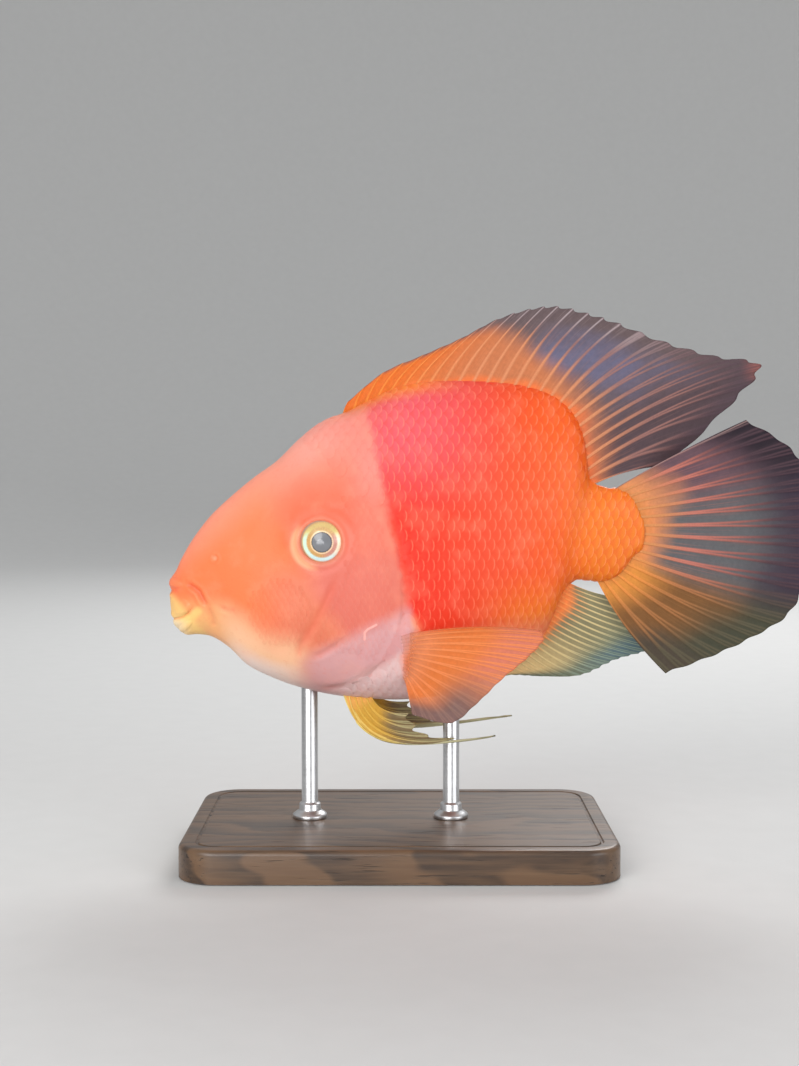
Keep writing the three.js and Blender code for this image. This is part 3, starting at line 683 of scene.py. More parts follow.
def tail_fin_place(t, u):
    angle = np.radians(mix(*TAIL["angles"], t))
    root_x = TAIL["x"] + TAIL["reach_x"] * np.cos(angle)
    root_z = TAIL["z"] + TAIL["reach_z"] * np.sin(angle)
    tip_x, tip_z = along_rows(TAIL["tips"], t).T
    zero = np.zeros_like(t)
    root, tip = np.stack([root_x, zero, root_z], -1), np.stack([tip_x, zero, tip_z], -1)
    point = bowed_ray(root, tip, mix(*TAIL["bow"], t), u)
    point[:, 1] = bend_at(point[:, 0])
    return point


def pectoral_place(side_name):
    side = SIDES[side_name]

    def place(t, u):
        up = ((WIDEST - mix(*PECTORAL["heights"], t)) / WIDEST) ** (BELLY_FULLNESS / 2)
        turn = -side * (math.pi - np.arccos(np.clip(up, 0, 1)))
        root = body_point(PECTORAL["section"], turn)
        tip_x, tip_z = along_rows(PECTORAL["tips"], t).T
        tip = np.stack([tip_x, root[:, 1] + side * PECTORAL["lean"][side_name], tip_z], -1)
        point = bowed_ray(root, tip, PECTORAL["bow"] * (1 - t), u)
        point[:, 1] += side * PECTORAL["belly"] * np.sin(math.pi * u) * (1 - t / 2)
        return point
    return place


def pelvic_place(side_name):
    """The second ray is drawn out to a thread, and its neighbours run on without it."""
    side = SIDES[side_name]
    rows = [list(row) for row in PELVIC[side_name]]
    end_x, end_z = rows[1][2:]
    rows[1][2:] = [mix(rows[0][2], rows[2][2], 0.75), mix(rows[0][3], rows[2][3], 0.55)]

    def place(t, u):
        mid_x, mid_z, tip_x, tip_z = along_rows(rows, t).T
        drawn_out = bell(t - PELVIC["build"]["filament"], FILAMENT_HALF)
        ends = (
            (mix(*PELVIC["root_x"], t), mid_x, mix(tip_x, end_x, drawn_out)),
            (PELVIC["root_z"], mid_z, mix(tip_z, end_z, drawn_out)),
        )
        x, z = ((1 - u) ** 2 * root + 2 * u * (1 - u) * mid + u * u * tip for root, mid, tip in ends)
        y = mix(*PELVIC["root_y"], t) + PELVIC["lean"][side_name] * np.sin(u * math.pi / 2)
        return np.stack([x, side * y, z], -1)
    return place


# How a ray splits: half the gap between its two strands at the root, what that gap gains towards
# the margin, half the gap of the second split, and half a strand's width, all as shares of the
# pitch; and the shares of the ray over which the first gap opens and where the second starts
SPLIT = {"root": 0.055, "gain": 0.15, "second": 0.085, "strand": 0.09, "tip_strand": 0.05, "spine": 0.11}
SPLIT_OPENS, SECOND_OPENS, STRAND_THINS = (0.3, 0.9), (0.62, 1.0), (0.1, 0.9)


def ray_ridge(offset, u, spiny):
    """Height, 0 to 1, of a ray's ridge at an offset from its middle, in pitches.
    A spine stays single and thins; a soft ray is a pair of strands, which part and split again."""
    soft = 1 - spiny
    split = (SPLIT["root"] + SPLIT["gain"] * smooth_step(*SPLIT_OPENS, u)) * soft
    second = SPLIT["second"] * smooth_step(*SECOND_OPENS, u) * soft
    wide = mix(SPLIT["strand"], SPLIT["spine"], spiny)
    half = mix(wide, SPLIT["tip_strand"], smooth_step(*STRAND_THINS, u))
    return bell(np.abs(np.abs(np.abs(offset) - split) - second), half)


def make_fin(name, place, material, rays, columns=20, rows=52, membrane=0.3, root=1.1, ridge=0.34,
             spines=0.0, margin=0.03, pleat=0.25, filament=None):
    """A fin on a grid with columns to a pitch and rows to a ray, given its walls by Solidify.
    membrane, root and ridge are thicknesses; spines is the share of the rays that are spines;
    margin is how far the edge draws back between rays, pleat how far the membrane swings to and
    fro, and filament the place of a thread."""
    across = (rays - 1) * columns
    bpy.ops.mesh.primitive_grid_add(x_subdivisions=across, y_subdivisions=rows, size=2)
    fin = bpy.context.object
    flat = vertex_places(fin)
    t = (flat[:, 0] + 1) / 2
    level = np.rint((flat[:, 1] + 1) / 2 * rows)
    u = np.maximum(level - 1, 0) / (rows - 1)
    ray_number = t * (rays - 1)
    wave = np.cos(2 * math.pi * ray_number)
    soft = 0.04  # share of the fin over which spines give way to soft rays
    spiny = smooth_step(spines + soft, spines - soft, t) if spines else np.zeros_like(t)
    # Between two rays the margin draws back; behind a spine the membrane runs out as a small flap
    dip = margin * (0.5 - 0.5 * wave)
    behind = np.mod(ray_number, 1)
    flap = margin * 6.4 * behind * (1 - behind) ** 2
    points = place(t, u * (1 - mix(dip, flap, spiny)))
    # The first row runs on into the body
    step = place(t, np.full_like(u, 0.04)) - place(t, np.zeros_like(u))
    points = np.where((level == 0)[:, None], points - unit(step) * SUNK, points)
    shift = 1e-3
    over = place(t + shift, u) - place(t - shift, u)
    normal = unit(np.cross(over, place(t, u + shift) - place(t, u - shift)))
    points += normal * (pleat * u * wave * 0.5)[:, None]
    move_vertices(fin, points)
    # Thicker at the root and on the rays, thinner towards the margin
    ridges = ray_ridge(ray_number - np.rint(ray_number), u, spiny)
    flesh = root * np.maximum(1 - 4 * u, 0) ** 2
    thick = membrane * mix(1, 0.7, u) + flesh + 2 * ridge * ridges * mix(1, 0.3, u)
    if filament:
        thick += 0.5 * bell(t - filament, 0.03) * smooth_step(0.3, 0.7, u) * mix(1, 0.5, u)
    thickest = float(thick.max())
    group = fin.vertex_groups.new(name="thickness")
    for k, value in enumerate(thick / thickest):
        group.add([k], float(value), "REPLACE")
    give_masks(fin, {"ray": ray_number, "along": u, "across": t, "spiny": spiny})
    walls = fin.modifiers.new("walls", "SOLIDIFY")
    walls.thickness = thickest * MM
    walls.offset = 0
    walls.vertex_group = "thickness"
    bpy.ops.object.modifier_apply(modifier="walls")
    fin.vertex_groups.clear()
    face_outwards(fin)
    smooth_faces(fin)
    finish_piece(fin, f"{name}_membrane", "fin", material, name)


# Eyes

def flank_at(x, z):
    """Half width of the plain body at a side-view place, and how far its normal turns forwards."""
    station, turn = np.meshgrid(np.linspace(2, 16, 281), np.linspace(0.4, 2.6, 221))
    station, turn = station.ravel(), turn.ravel()
    points = body_point(station, turn)
    nearest = np.argmin(np.hypot(points[:, 0] - x, points[:, 2] - z))
    normal = body_normal(station[nearest], turn[nearest])
    return float(-points[nearest, 1]), math.atan2(-normal[0], -normal[1])


def make_eye(side_name, material):
    """Eyeball: a flattened ball with a slight cornea, leaning forwards with the flank."""
    bpy.ops.mesh.primitive_uv_sphere_add(segments=72, ring_count=48, radius=1)
    eye = bpy.context.object
    along, up, out = vertex_places(eye).T
    half_width, forwards = flank_at(EYE["x"], EYE["z"])
    lean = forwards * EYE["lean"]
    cornea = np.where(out > 0, CORNEA * bell(np.hypot(along, up), CORNEA_REACH), 0)
    along, out = along * EYE["radius"], out * EYE["half"] + cornea
    x = along * math.cos(lean) - out * math.sin(lean)
    y = along * math.sin(lean) + out * math.cos(lean)
    move_vertices(eye, np.stack([
        EYE["x"] + EYE["sunk"] * math.sin(lean) + x,
        SIDES[side_name] * (half_width - EYE["sunk"] * math.cos(lean) + y),
        EYE["z"] + up * EYE["radius"],
    ], 1))
    face_outwards(eye)
    smooth_faces(eye)
    finish_piece(eye, f"eye_{side_name}_ball", "eye", material, f"eye_{side_name}")


# Stand, in metres. The rod's collar is its radius as a share of the rod's and its height over the
# base in millimetres, from the bottom up.

BASE = {"corner": 12 * MM, "edge": 1.6 * MM, "border": 3.2 * MM}
BASE_LINE = [(0.35, -0.45), (0.5, 0), (0.35, 0.45), (0.25, 0)]  # steps inwards and up, in mm
COLLAR = [(1, 0.05), (2.1, 0.05), (2.1, 1.2), (1.75, 1.9), (1.35, 2.6), (1.3, 4.6), (1, 5.1)]


def make_base(material):
    """Wooden base: a rounded plate drawn up, turned over at its edges, with a fine cut line on top."""
    low, high = (np.array(corner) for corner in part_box("stand_base"))
    bpy.ops.mesh.primitive_plane_add(size=1, location=(*((low + high) / 2)[:2], low[2]))
    base = bpy.context.object
    base.scale = (*(high - low)[:2], 1)
    bpy.ops.object.transform_apply(location=True, rotation=True, scale=True)
    edit_all()
    bpy.ops.mesh.bevel(offset=BASE["corner"], segments=16, affect="VERTICES")
    bpy.ops.mesh.select_all(action="SELECT")
    edge, steps = BASE["edge"], 6
    bpy.ops.mesh.extrude_region_move(TRANSFORM_OT_translate={"value": (0, 0, high[2] - low[2] - edge)})
    for k in range(steps):
        angle, after = (math.pi / 2 * j / steps for j in (k, k + 1))
        inwards = edge * (math.cos(angle) - math.cos(after))
        upwards = edge * (math.sin(after) - math.sin(angle))
        bpy.ops.mesh.inset(thickness=inwards, depth=upwards)
    bpy.ops.mesh.inset(thickness=BASE["border"])
    for inwards, depth in BASE_LINE:
        bpy.ops.mesh.inset(thickness=inwards * MM, depth=depth * MM)
    leave_edit()
    face_outwards(base)
    smooth_faces(base, 35)
    finish_piece(base, "stand_base_wood", "base_wood", material, "stand_base")


def make_rod(place, material):
    """Steel rod with a turned collar where it leaves the base: a profile spun round its axis."""
    node = f"stand_rod_{place}"
    low, high = (np.array(corner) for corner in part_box(node))
    base_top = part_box("stand_base")[1][2]
    radius = (high[0] - low[0]) / 2
    centre = (low + high) / 2
    profile = [(0, low[2]), (radius, low[2])]
    profile += [(radius * share, base_top + up * MM) for share, up in COLLAR]
    profile += [(radius, high[2]), (0, high[2])]
    points = [(centre[0] + r, centre[1], z) for r, z in profile]
    rod = link_mesh(node, points, [(i, i + 1) for i in range(len(points) - 1)], [])
    select_only(rod)
    edit_all()
    bpy.ops.mesh.spin(steps=48, angle=2 * math.pi, center=tuple(centre), axis=(0, 0, 1))
    bpy.ops.mesh.select_all(action="SELECT")
    bpy.ops.mesh.remove_doubles(threshold=1e-6)
    bpy.ops.mesh.normals_make_consistent(inside=False)
    leave_edit()
    edges = rod.modifiers.new("edges", "BEVEL")
    edges.width = 0.2 * MM
    edges.segments = 2
    edges.limit_method = "ANGLE"
    edges.angle_limit = math.radians(40)
    bpy.ops.object.modifier_apply(modifier="edges")
    smooth_faces(rod, 35)
    finish_piece(rod, f"{node}_steel", "rod_steel", material, node)


# Materials

class Value:
    """A node's output socket, on which Python's operators add Math nodes."""

    def __init__(self, finish, socket):
        self.finish = finish
        self.socket = socket

    def maths(self, operation, *others):
        values = dict(enumerate((self, *others)))
        return self.finish.node("ShaderNodeMath", {"operation": operation}, values)

    def __add__(self, other):
        return self.maths("ADD", other)

    __radd__ = __add__

    def __sub__(self, other):
        return self.maths("SUBTRACT", other)

    def __rsub__(self, other):
        return self.finish.node("ShaderNodeMath", {"operation": "SUBTRACT"}, {0: other, 1: self})

    def __mul__(self, other):
        return self.maths("MULTIPLY", other)

    __rmul__ = __mul__

    def __truediv__(self, other):
        return self.maths("DIVIDE", other)

    def __pow__(self, other):
        return self.maths("POWER", other)

    def __neg__(self):
        return self * -1

    def __abs__(self):
        return self.maths("ABSOLUTE")


class Finish:
    """A material's nodes. x, y and z are the place on the piece in millimetres."""

    def __init__(self, name):
        self.material = bpy.data.materials.new(name)
        self.material.use_nodes = True
        self.tree = self.material.node_tree
        self.tree.nodes.clear()
        self.place = self.node("ShaderNodeTexCoord", output="Object")
        self.x, self.y, self.z = (part * (1 / MM) for part in self.parts(self.place))

    def node(self, kind, settings=None, values=None, output=0):
        """Adds a node: settings first, then the values or links of its sockets."""
        made = self.tree.nodes.new(kind)
        for name, value in (settings or {}).items():
            setattr(made, name, value)
        for name, value in (values or {}).items():
            socket = made.inputs[name]
            if isinstance(value, Value):
                self.tree.links.new(value.socket, socket)
            else:
                socket.default_value = value
        return Value(self, made.outputs[output])

    def parts(self, vector):
        return [self.node("ShaderNodeSeparateXYZ", None, {0: vector}, i) for i in range(3)]

    def joined(self, *parts):
        return self.node("ShaderNodeCombineXYZ", None, dict(enumerate(parts)))

    def mask(self, name):
        return self.node("ShaderNodeAttribute", {"attribute_name": name}, output="Fac")

    def rise(self, value, low, high):
        """0 to 1 as value goes from low to high, with soft ends."""
        values = {"Value": value, "From Min": low, "From Max": high}
        return self.node("ShaderNodeMapRange", {"interpolation_type": "SMOOTHSTEP"}, values)

    def band(self, value, low, high, soft):
        return self.rise(value, low - soft, low + soft) * (1 - self.rise(value, high - soft, high + soft))

    def distance(self, right, up):
        return (right**2 + up**2).maths("SQRT")

    def line(self, points):
        """Distance in side view from a line of (x, z) points."""
        nearest = None
        for (x0, z0), (x1, z1) in zip(points, points[1:]):
            right, up = self.x - x0, self.z - z0
            span_x, span_z = x1 - x0, z1 - z0
            share = (right * span_x + up * span_z) / (span_x**2 + span_z**2)
            share = self.node("ShaderNodeClamp", None, {"Value": share})
            gap = self.distance(right - share * span_x, up - share * span_z)
            nearest = gap if nearest is None else nearest.maths("MINIMUM", gap)
        return nearest

    def noise(self, scale, detail=2.0, roughness=0.5, stretch=None, place=None):
        """Noise of about 1/scale a blob, drawn out along an axis by stretch."""
        place = place or self.place
        if stretch:
            place = self.node("ShaderNodeVectorMath", {"operation": "MULTIPLY"}, {0: place, 1: stretch})
        values = {"Vector": place, "Scale": scale, "Detail": detail, "Roughness": roughness}
        return self.node("ShaderNodeTexNoise", None, values)

    def drift(self, scale, detail=2.0):
        """Noise round 0."""
        return self.noise(scale, detail) - 0.5

    def blend(self, mask, first, second):
        """Colour that goes from first to second as mask goes from 0 to 1."""
        settings = {"data_type": "RGBA", "clamp_factor": True}
        values = {0: mask}
        for slot, colour in ((6, first), (7, second)):
            values[slot] = colour if isinstance(colour, Value) else (*colour, 1)
        return self.node("ShaderNodeMix", settings, values, 2)

    def layers(self, colour, *layers):
        """Lays (mask, colour) layers over a colour, one after another."""
        for mask, over in layers:
            colour = self.blend(mask, colour, over)
        return colour

    def shade(self, colour, amount):
        """Colour times a grey value."""
        grey = self.node("ShaderNodeCombineColor", None, {0: amount, 1: amount, 2: amount})
        values = {0: 1.0, 6: colour, 7: grey}
        return self.node("ShaderNodeMix", {"data_type": "RGBA", "blend_type": "MULTIPLY"}, values, 2)

    def bump(self, height, distance, strength, normal=None):
        values = {"Height": height, "Distance": distance, "Strength": strength}
        if normal:
            values["Normal"] = normal
        return self.node("ShaderNodeBump", None, values)

    def close(self, **sockets):
        """Ends in a Principled shader with these sockets, underscores for spaces."""
        values = {name.replace("_", " "): value for name, value in sockets.items()}
        shader = self.node("ShaderNodeBsdfPrincipled", None, values)
        output = self.tree.nodes.new("ShaderNodeOutputMaterial")
        self.tree.links.new(shader.socket, output.inputs["Surface"])
        return self.material


HEAD_END_Z, HEAD_END_LEAN = 98.4, 0.22  # where the head's colours end at x = 0, and how it leans

# The fish's colours, linear
SNOUT_ORANGE = (0.87, 0.185, 0.062)
EYE_ORANGE = (0.81, 0.105, 0.045)
PECTORAL_BASE = (0.84, 0.33, 0.165)
FOREHEAD = (0.9, 0.3, 0.19)
NAPE_PINK = (0.86, 0.345, 0.275)
TEMPLE_PINK = (0.79, 0.19, 0.155)
CHEEK = (0.7, 0.185, 0.1)
THROAT = (0.86, 0.49, 0.29)
THROAT_PALE = (0.84, 0.66, 0.59)
GILL_ROSE = (0.66, 0.155, 0.11)
GILL_LILAC = (0.62, 0.35, 0.36)
# Painted highlight on the fold low on the gill cover
STREAK_HIGHLIGHT = (0.98, 0.5, 0.44)
BREAST = (0.76, 0.53, 0.52)
CHIN_GOLD = (0.82, 0.42, 0.16)
LIP_GOLD = (0.86, 0.57, 0.2)
LIP_ROSE = (0.95, 0.36, 0.19)
LIP_FOLD_GOLD = (0.94, 0.58, 0.19)
LIP_CREAM = (0.8, 0.72, 0.56)
# Painted shade in the cleft between the lips
MOUTH_CLEFT_SHADE = (0.8, 0.28, 0.12)
# Painted shade in the folds of the head and the groove behind the gill cover
FOLD_SHADE_RED = (0.7, 0.11, 0.06)
EYE_PEACH = (0.86, 0.45, 0.24)
SOCKET_BROWN = (0.62, 0.24, 0.14)
NOSTRIL_PINK = (0.98, 0.42, 0.26)
BODY_FRONT = (0.74, 0.02, 0.006)
BODY_RED = (0.77, 0.068, 0.02)
BODY_PINK = (0.76, 0.1, 0.125)
BODY_REAR = (0.79, 0.11, 0.006)
TAIL_ROOT = (0.74, 0.18, 0.012)
BELLY = (0.78, 0.2, 0.09)
BELLY_REAR = (0.78, 0.2, 0.01)
BELLY_LOW = (0.72, 0.28, 0.15)
CREST_GOLD = (0.88, 0.25, 0.05)
DRIFT_PINK = (1.0, 0.42, 0.26)
FRECKLE_RED = (0.7, 0.1, 0.05)
# Painted highlight on the scales' rear rims, and painted shade at their roots
SCALE_RIM_HIGHLIGHT = (1.0, 0.34, 0.2)
SCALE_ROOT_SHADE = (0.74, 0.05, 0.015)


def head_end(finish):
    """How far behind the end of the head's colours a place lies, in millimetres."""
    return finish.x + (finish.z - HEAD_END_Z) * HEAD_END_LEAN


def body_colours(finish):
    """The fish's markings and a painted highlight on a fold of the gill cover, read from the place on
    the body, the same for skin and scales.
    """
    rise, x, z = finish.rise, finish.x, finish.z
    blotch = finish.drift(70, 3)
    across, level = x + blotch * 5, z + blotch * 5

    # Head: orange at the snout, pink over the nape, rosy on the gill cover, pale below
    crown = level - across * 0.81
    brow = finish.distance(across + 24, level - 108)
    pale_line = level + across * 0.44
    throat = rise(pale_line, 59, 46) * rise(across, -24, -34) * rise(across, -64, -52)
    gill = rise(across + (level - 84) * 0.55, -30, -20) * rise(level, 112, 90)
    lower_gill = rise(level - across * 0.5, 81, 74) * rise(across, -37, -23)
    breast = rise(level - across * 0.55, 66.5, 62.5) * rise(across, -26, -16)
    colour = finish.layers(
        SNOUT_ORANGE,
        (rise(crown, 138, 156), FOREHEAD),
        (rise(crown, 128, 150) * rise(across, -48, -26), NAPE_PINK),
        (rise(across, -26, -6) * rise(level, 104, 122), NAPE_PINK),
        (rise(across, -34, -8) * rise(level, 88, 106) * 0.7, TEMPLE_PINK),
        (rise(brow, 22, 2) * 0.75, EYE_ORANGE),
        (rise(across, -48, -30) * rise(level, 98, 84), CHEEK),
        (throat, THROAT),
        (rise(pale_line, 47, 38) * rise(across, -58, -46), THROAT_PALE),
        (gill, GILL_ROSE),
        (lower_gill * 0.85, GILL_LILAC),
        (breast, BREAST),
        (rise(across, -50, -62) * rise(level, 82, 72), CHIN_GOLD),
        # Painted highlight: a pale line along the fold low on the gill cover
        (rise(finish.line(STREAK), 0.55, 0.1) * 0.65, STREAK_HIGHLIGHT),
    )

    # Body: red, pinker over the shoulder and orange towards the tail root and the belly
    pectoral_foot = finish.distance(x - 1.5, (z - 71.5) * 0.8)
    body = finish.layers(
        BODY_RED,
        (rise(across, 34, 2), BODY_FRONT),
        (rise(level, 104, 132) * rise(across, 40, 0), BODY_PINK),
        (rise(across, 26, 58), BODY_REAR),
        (rise(across, 46, 64) * rise(abs(level - 99), 32, 8), TAIL_ROOT),
        (rise(across, 18, 44) * rise(level, 92, 72) * 0.8, BELLY_REAR),
        (rise(level - x * 0.12, 73, 63), BELLY),
        (rise(level - x * 0.2, 58, 50), BELLY_LOW),
        (rise(pectoral_foot, 6.5, 2.5), PECTORAL_BASE),
    )

    # The body's red ends at a line that frays a little, and the crest is gold on both sides of it
    border = head_end(finish) + 1.3 + finish.drift(420, 3) * 2.4 + rise(z, 72, 62) * 6
    crest = rise(level - rise(across, -30, 10) * 9, 133, 139) * rise(across, 22, 2)
    return finish.layers(
        colour,
        (rise(border, -1.6, 2.0), body),
        (crest * rise(across, -28, -14), CREST_GOLD),
        (rise(finish.noise(160, 3), 0.45, 0.75) * 0.12, DRIFT_PINK),
        (rise(finish.noise(900, 2), 0.56, 0.72) * 0.1, FRECKLE_RED),
    )


def close_flesh(finish, colour, roughness, normal):
    """Moist skin or scales."""
    return finish.close(
        Base_Color=colour, Roughness=roughness, Normal=normal,
        Coat_Weight=0.05, Coat_Roughness=0.2, Specular_IOR_Level=0.28,
    )


def skin_material():
    """The markings, with golden lips, a peach patch ahead of the eye and a darker rim round it, and
    painted shade in the folds, the groove behind the gill cover and the lips' cleft.
    """
    finish = Finish("fish_skin")
    rise, mask, x, z = finish.rise, finish.mask, finish.x, finish.z
    lip = mask("lip")
    gold = rise(x + z * 0.8, -3.6, -7.2) * rise(z, 84, 79.5)
    right, up = x - EYE["x"], z - EYE["z"]
    round_eye = finish.band(finish.distance(right + 1.8, up + 0.9), 5.4, 7.6, 0.8)
    ahead_of_eye = rise(right * 0.9 + up * 0.35, -2.5, -6.5)
    colour = finish.layers(
        body_colours(finish),
        (gold.maths("MAXIMUM", lip * rise(z, 77, 73)) * 0.75, LIP_GOLD),
        (lip * rise(z, 82, 86) * 0.5, LIP_ROSE),
        (rise(finish.line(LIP_RIDGE), 2.2, 0.4) * 0.7, LIP_FOLD_GOLD),
        (rise(x, -64, -71) * rise(z, 75, 72) * 0.6, LIP_CREAM),
        # Painted shade in the folds and in the groove behind the gill cover
        (mask("fold_shade") * 0.4, FOLD_SHADE_RED),
        (round_eye * ahead_of_eye * 0.65, EYE_PEACH),
        (mask("socket") * 0.55, SOCKET_BROWN),
        # Painted shade in the cleft between the lips
        (rise(mask("cleft_shade"), 0.3, 0.9) * 0.45, MOUTH_CLEFT_SHADE),
        (mask("nostril") * 0.5, NOSTRIL_PINK),
    )
    values = {"Vector": finish.place, "Scale": 950.0}
    pores = finish.node("ShaderNodeTexVoronoi", None, values, "Distance")
    grain = finish.noise(1500, 3) * 0.4 + rise(pores, 0.0, 0.35) * 0.6
    normal = finish.bump(finish.noise(180, 3), 0.0006, 0.25, finish.bump(grain, 0.00012, 0.4))
    return close_flesh(finish, colour, 0.44 + finish.drift(300) * 0.16, normal)


def scale_material():
    """The markings, with a painted highlight as a paler rim at each scale's rear and painted shade at
    its root, where it lies under the scale ahead, both faint on the head."""
    finish = Finish("fish_scales")
    rise = finish.rise
    plate = finish.node("ShaderNodeUVMap", {"uv_map": "plate"})
    a, b = (part - 0.5 for part in finish.parts(plate)[:2])
    reach = finish.distance(a, b)
    shown = rise(head_end(finish), -4, 2) * 0.75 + 0.25
    # The rearmost part of each scale's edge, where a highlight is painted
    rim = rise(reach, 0.38, 0.47) * rise(abs(b), 0.36, 0.14) * rise(a, 0.1, 0.3)
    colour = finish.layers(
        body_colours(finish),
        # Painted highlight on the rear rims, and painted shade at the roots, under the scale ahead
        (rim * shown * 0.3, SCALE_RIM_HIGHLIGHT),
        (rise(a, 0.3, 0.0) * shown * 0.3, SCALE_ROOT_SHADE),
    )
    rings = (reach * 95).maths("SINE")
    normal = finish.bump(rings * 0.5 + finish.noise(1800), 0.00004, 0.5)
    return close_flesh(finish, colour, 0.47 + finish.drift(500) * 0.14, normal)


def ray_strands(finish, along, spiny):
    """The same ridges as ray_ridge, sharp at any distance: 1 on a ray's strands."""
    ray = finish.mask("ray")
    offset = abs(ray - ray.maths("ROUND"))
    soft = 1 - spiny
    split = (finish.rise(along, *SPLIT_OPENS) * SPLIT["gain"] + SPLIT["root"]) * soft
    second = finish.rise(along, *SECOND_OPENS) * SPLIT["second"] * soft
    wide = spiny * (SPLIT["spine"] - SPLIT["strand"]) + SPLIT["strand"]
    thin = finish.rise(along, *STRAND_THINS)
    half = wide * (1 - thin) + thin * SPLIT["tip_strand"]
    gap = abs(abs(offset - split) - second)
    return finish.rise(gap / half, 1.8, 0.3)


def fin_material(name, colours):
    """A fin's skin. colours(finish, along, across) gives the membrane's colour, the rays' colour,
    and how much the membrane and the rays cover what lies behind them."""
    finish = Finish(name)
    along, across = finish.mask("along"), finish.mask("across")
    strands = ray_strands(finish, along, finish.mask("spiny"))
    membrane, ray, cover, ray_cover = colours(finish, along, across)
    streak = finish.noise(900, 3, 0.6)
    membrane = finish.shade(membrane, 0.8 + streak * 0.4)
    ray = finish.shade(ray, 0.86 + finish.noise(2200) * 0.28)
    # Fine fibres run between the rays, out to the margin
    fibre = finish.noise(1.0, 3.0, place=finish.joined(finish.mask("ray") * 9, along * 2.5))
    colour = finish.layers(
        membrane,
        (finish.rise(fibre, 0.48, 0.7) * 0.2, ray),
        (strands * 0.85, ray),
    )
    joints = (along * 300).maths("SINE")
    height = finish.noise(1400, 3) * 0.4 + fibre * 0.4 + joints * strands * 0.25
    return finish.close(
        Base_Color=colour, Roughness=0.48 + streak * 0.12, Alpha=strands * (ray_cover - cover) + cover,
        Normal=finish.bump(height, 0.0001, 0.6), Specular_IOR_Level=0.12,
    )


def dorsal_colours(finish, along, across):
    """Orange in front, then tan, with smoky membranes outside, a blue patch and a pinkish rear."""
    rise = finish.rise
    patch = finish.drift(55)
    out = along + patch * 0.25
    smoke_from = 0.98 - rise(across, 0.1, 0.78) * 0.86
    blue = finish.band(across, 0.52, 0.78, 0.1) * finish.band(out, 0.28, 0.8, 0.12)
    smoke = finish.layers(
        (0.118, 0.083, 0.086),
        (rise(across, 0.7, 0.9), (0.08, 0.053, 0.061)),
        (blue * (0.4 + patch * 1.4), (0.13, 0.15, 0.28)),
    )
    tip = rise(finish.x, 106, 113) * rise(finish.z, 147, 151)
    membrane = finish.layers(
        (0.62, 0.135, 0.022),
        (rise(across, 0.14, 0.42), (0.47, 0.155, 0.065)),
        (rise(out, 0.12, 0.0), (0.7, 0.16, 0.045)),
        (rise(out - smoke_from, -0.18, 0.16), smoke),
        (tip, (0.17, 0.07, 0.07)),
    )
    rear = rise(across, 0.58, 0.82)
    pale_end = rise(along, 0.6, 0.9) * (1 - rear) * rise(across, 0.2, 0.4)
    ray = finish.layers(
        (0.78, 0.25, 0.05),
        (rise(across, 0.1, 0.4), (0.62, 0.25, 0.12)),
        (rise(out - smoke_from, -0.05, 0.3), (0.29, 0.14, 0.12)),
        (pale_end, (0.36, 0.29, 0.3)),
        (rise(along, 0.5, 0.95) * rear, (0.085, 0.054, 0.067)),
        (tip, (0.26, 0.095, 0.085)),
    )
    return membrane, ray, 1 - rise(out - smoke_from, 0.0, 0.5) * 0.06, 1.0


def tail_colours(finish, along, across):
    """Orange root, salmon rays over grey, purple on top, gold and olive below."""
    rise = finish.rise
    out = along + finish.drift(60) * 0.2
    lower = rise(across, 0.56, 0.72)
    # The membrane in the middle, on top and below, each as its root's, its middle's and its end's
    # colour with the spans over which they change
    middle, top, low = (
        finish.layers(root, (rise(out, *near), mid), (rise(out, *far), end))
        for root, near, mid, far, end in (
            ((0.7, 0.24, 0.08), (0.06, 0.27), (0.1, 0.1, 0.106), (0.55, 0.95), (0.04, 0.027, 0.044)),
            ((0.6, 0.23, 0.09), (0.12, 0.42), (0.112, 0.064, 0.08), (0.55, 0.95), (0.02, 0.013, 0.02)),
            ((0.62, 0.24, 0.045), (0.06, 0.45), (0.17, 0.076, 0.025), (0.5, 0.9), (0.052, 0.052, 0.033)),
        )
    )
    membrane = finish.layers(
        middle,
        (rise(across, 0.34, 0.12), top),
        (lower, low),
        (rise(across, 0.86, 0.95) * rise(out, 0.45, 0.75), (0.065, 0.05, 0.036)),
        (rise(out, 0.13, 0.01), (0.5, 0.185, 0.05)),
    )
    low_ray = finish.layers(
        (0.72, 0.26, 0.06),
        (rise(out, 0.1, 0.45), (0.36, 0.15, 0.055)),
        (rise(out, 0.45, 0.85), (0.09, 0.078, 0.048)),
    )
    ray = finish.layers(
        (0.56, 0.24, 0.09),
        (rise(out, 0.1, 0.36), (0.52, 0.165, 0.12)),
        (rise(out, 0.34, 0.82), (0.065, 0.036, 0.046)),
        (lower, low_ray),
        (rise(across, 0.025, 0.0), (0.3, 0.2, 0.19)),
    )
    return membrane, ray, 1 - rise(out, 0.5, 1.0) * 0.05, 1.0


def anal_colours(finish, along, across):
    """Orange root, cream and gold in front, grey-green behind with a bluish outer part."""
    rise = finish.rise
    out = along + finish.drift(60) * 0.2
    membrane = finish.layers(
        (0.66, 0.48, 0.22),
        (rise(across, 0.25, 0.7), (0.2, 0.185, 0.105)),
        (rise(out + across * 0.35, 0.6, 1.0), (0.15, 0.17, 0.115)),
        (rise(out + across * 0.3, 0.8, 1.05) * rise(across, 0.4, 0.65), (0.085, 0.135, 0.155)),
        (rise(out, 0.12, 0.01), (0.8, 0.22, 0.06)),
    )
    ray = finish.layers(
        (0.84, 0.3, 0.09),
        (rise(out, 0.05, 0.25), (0.66, 0.53, 0.26)),
        (rise(out + across * 0.4, 0.6, 1.1), (0.22, 0.28, 0.22)),
    )
    return membrane, ray, 1 - rise(out, 0.5, 1.0) * 0.06, 1.0


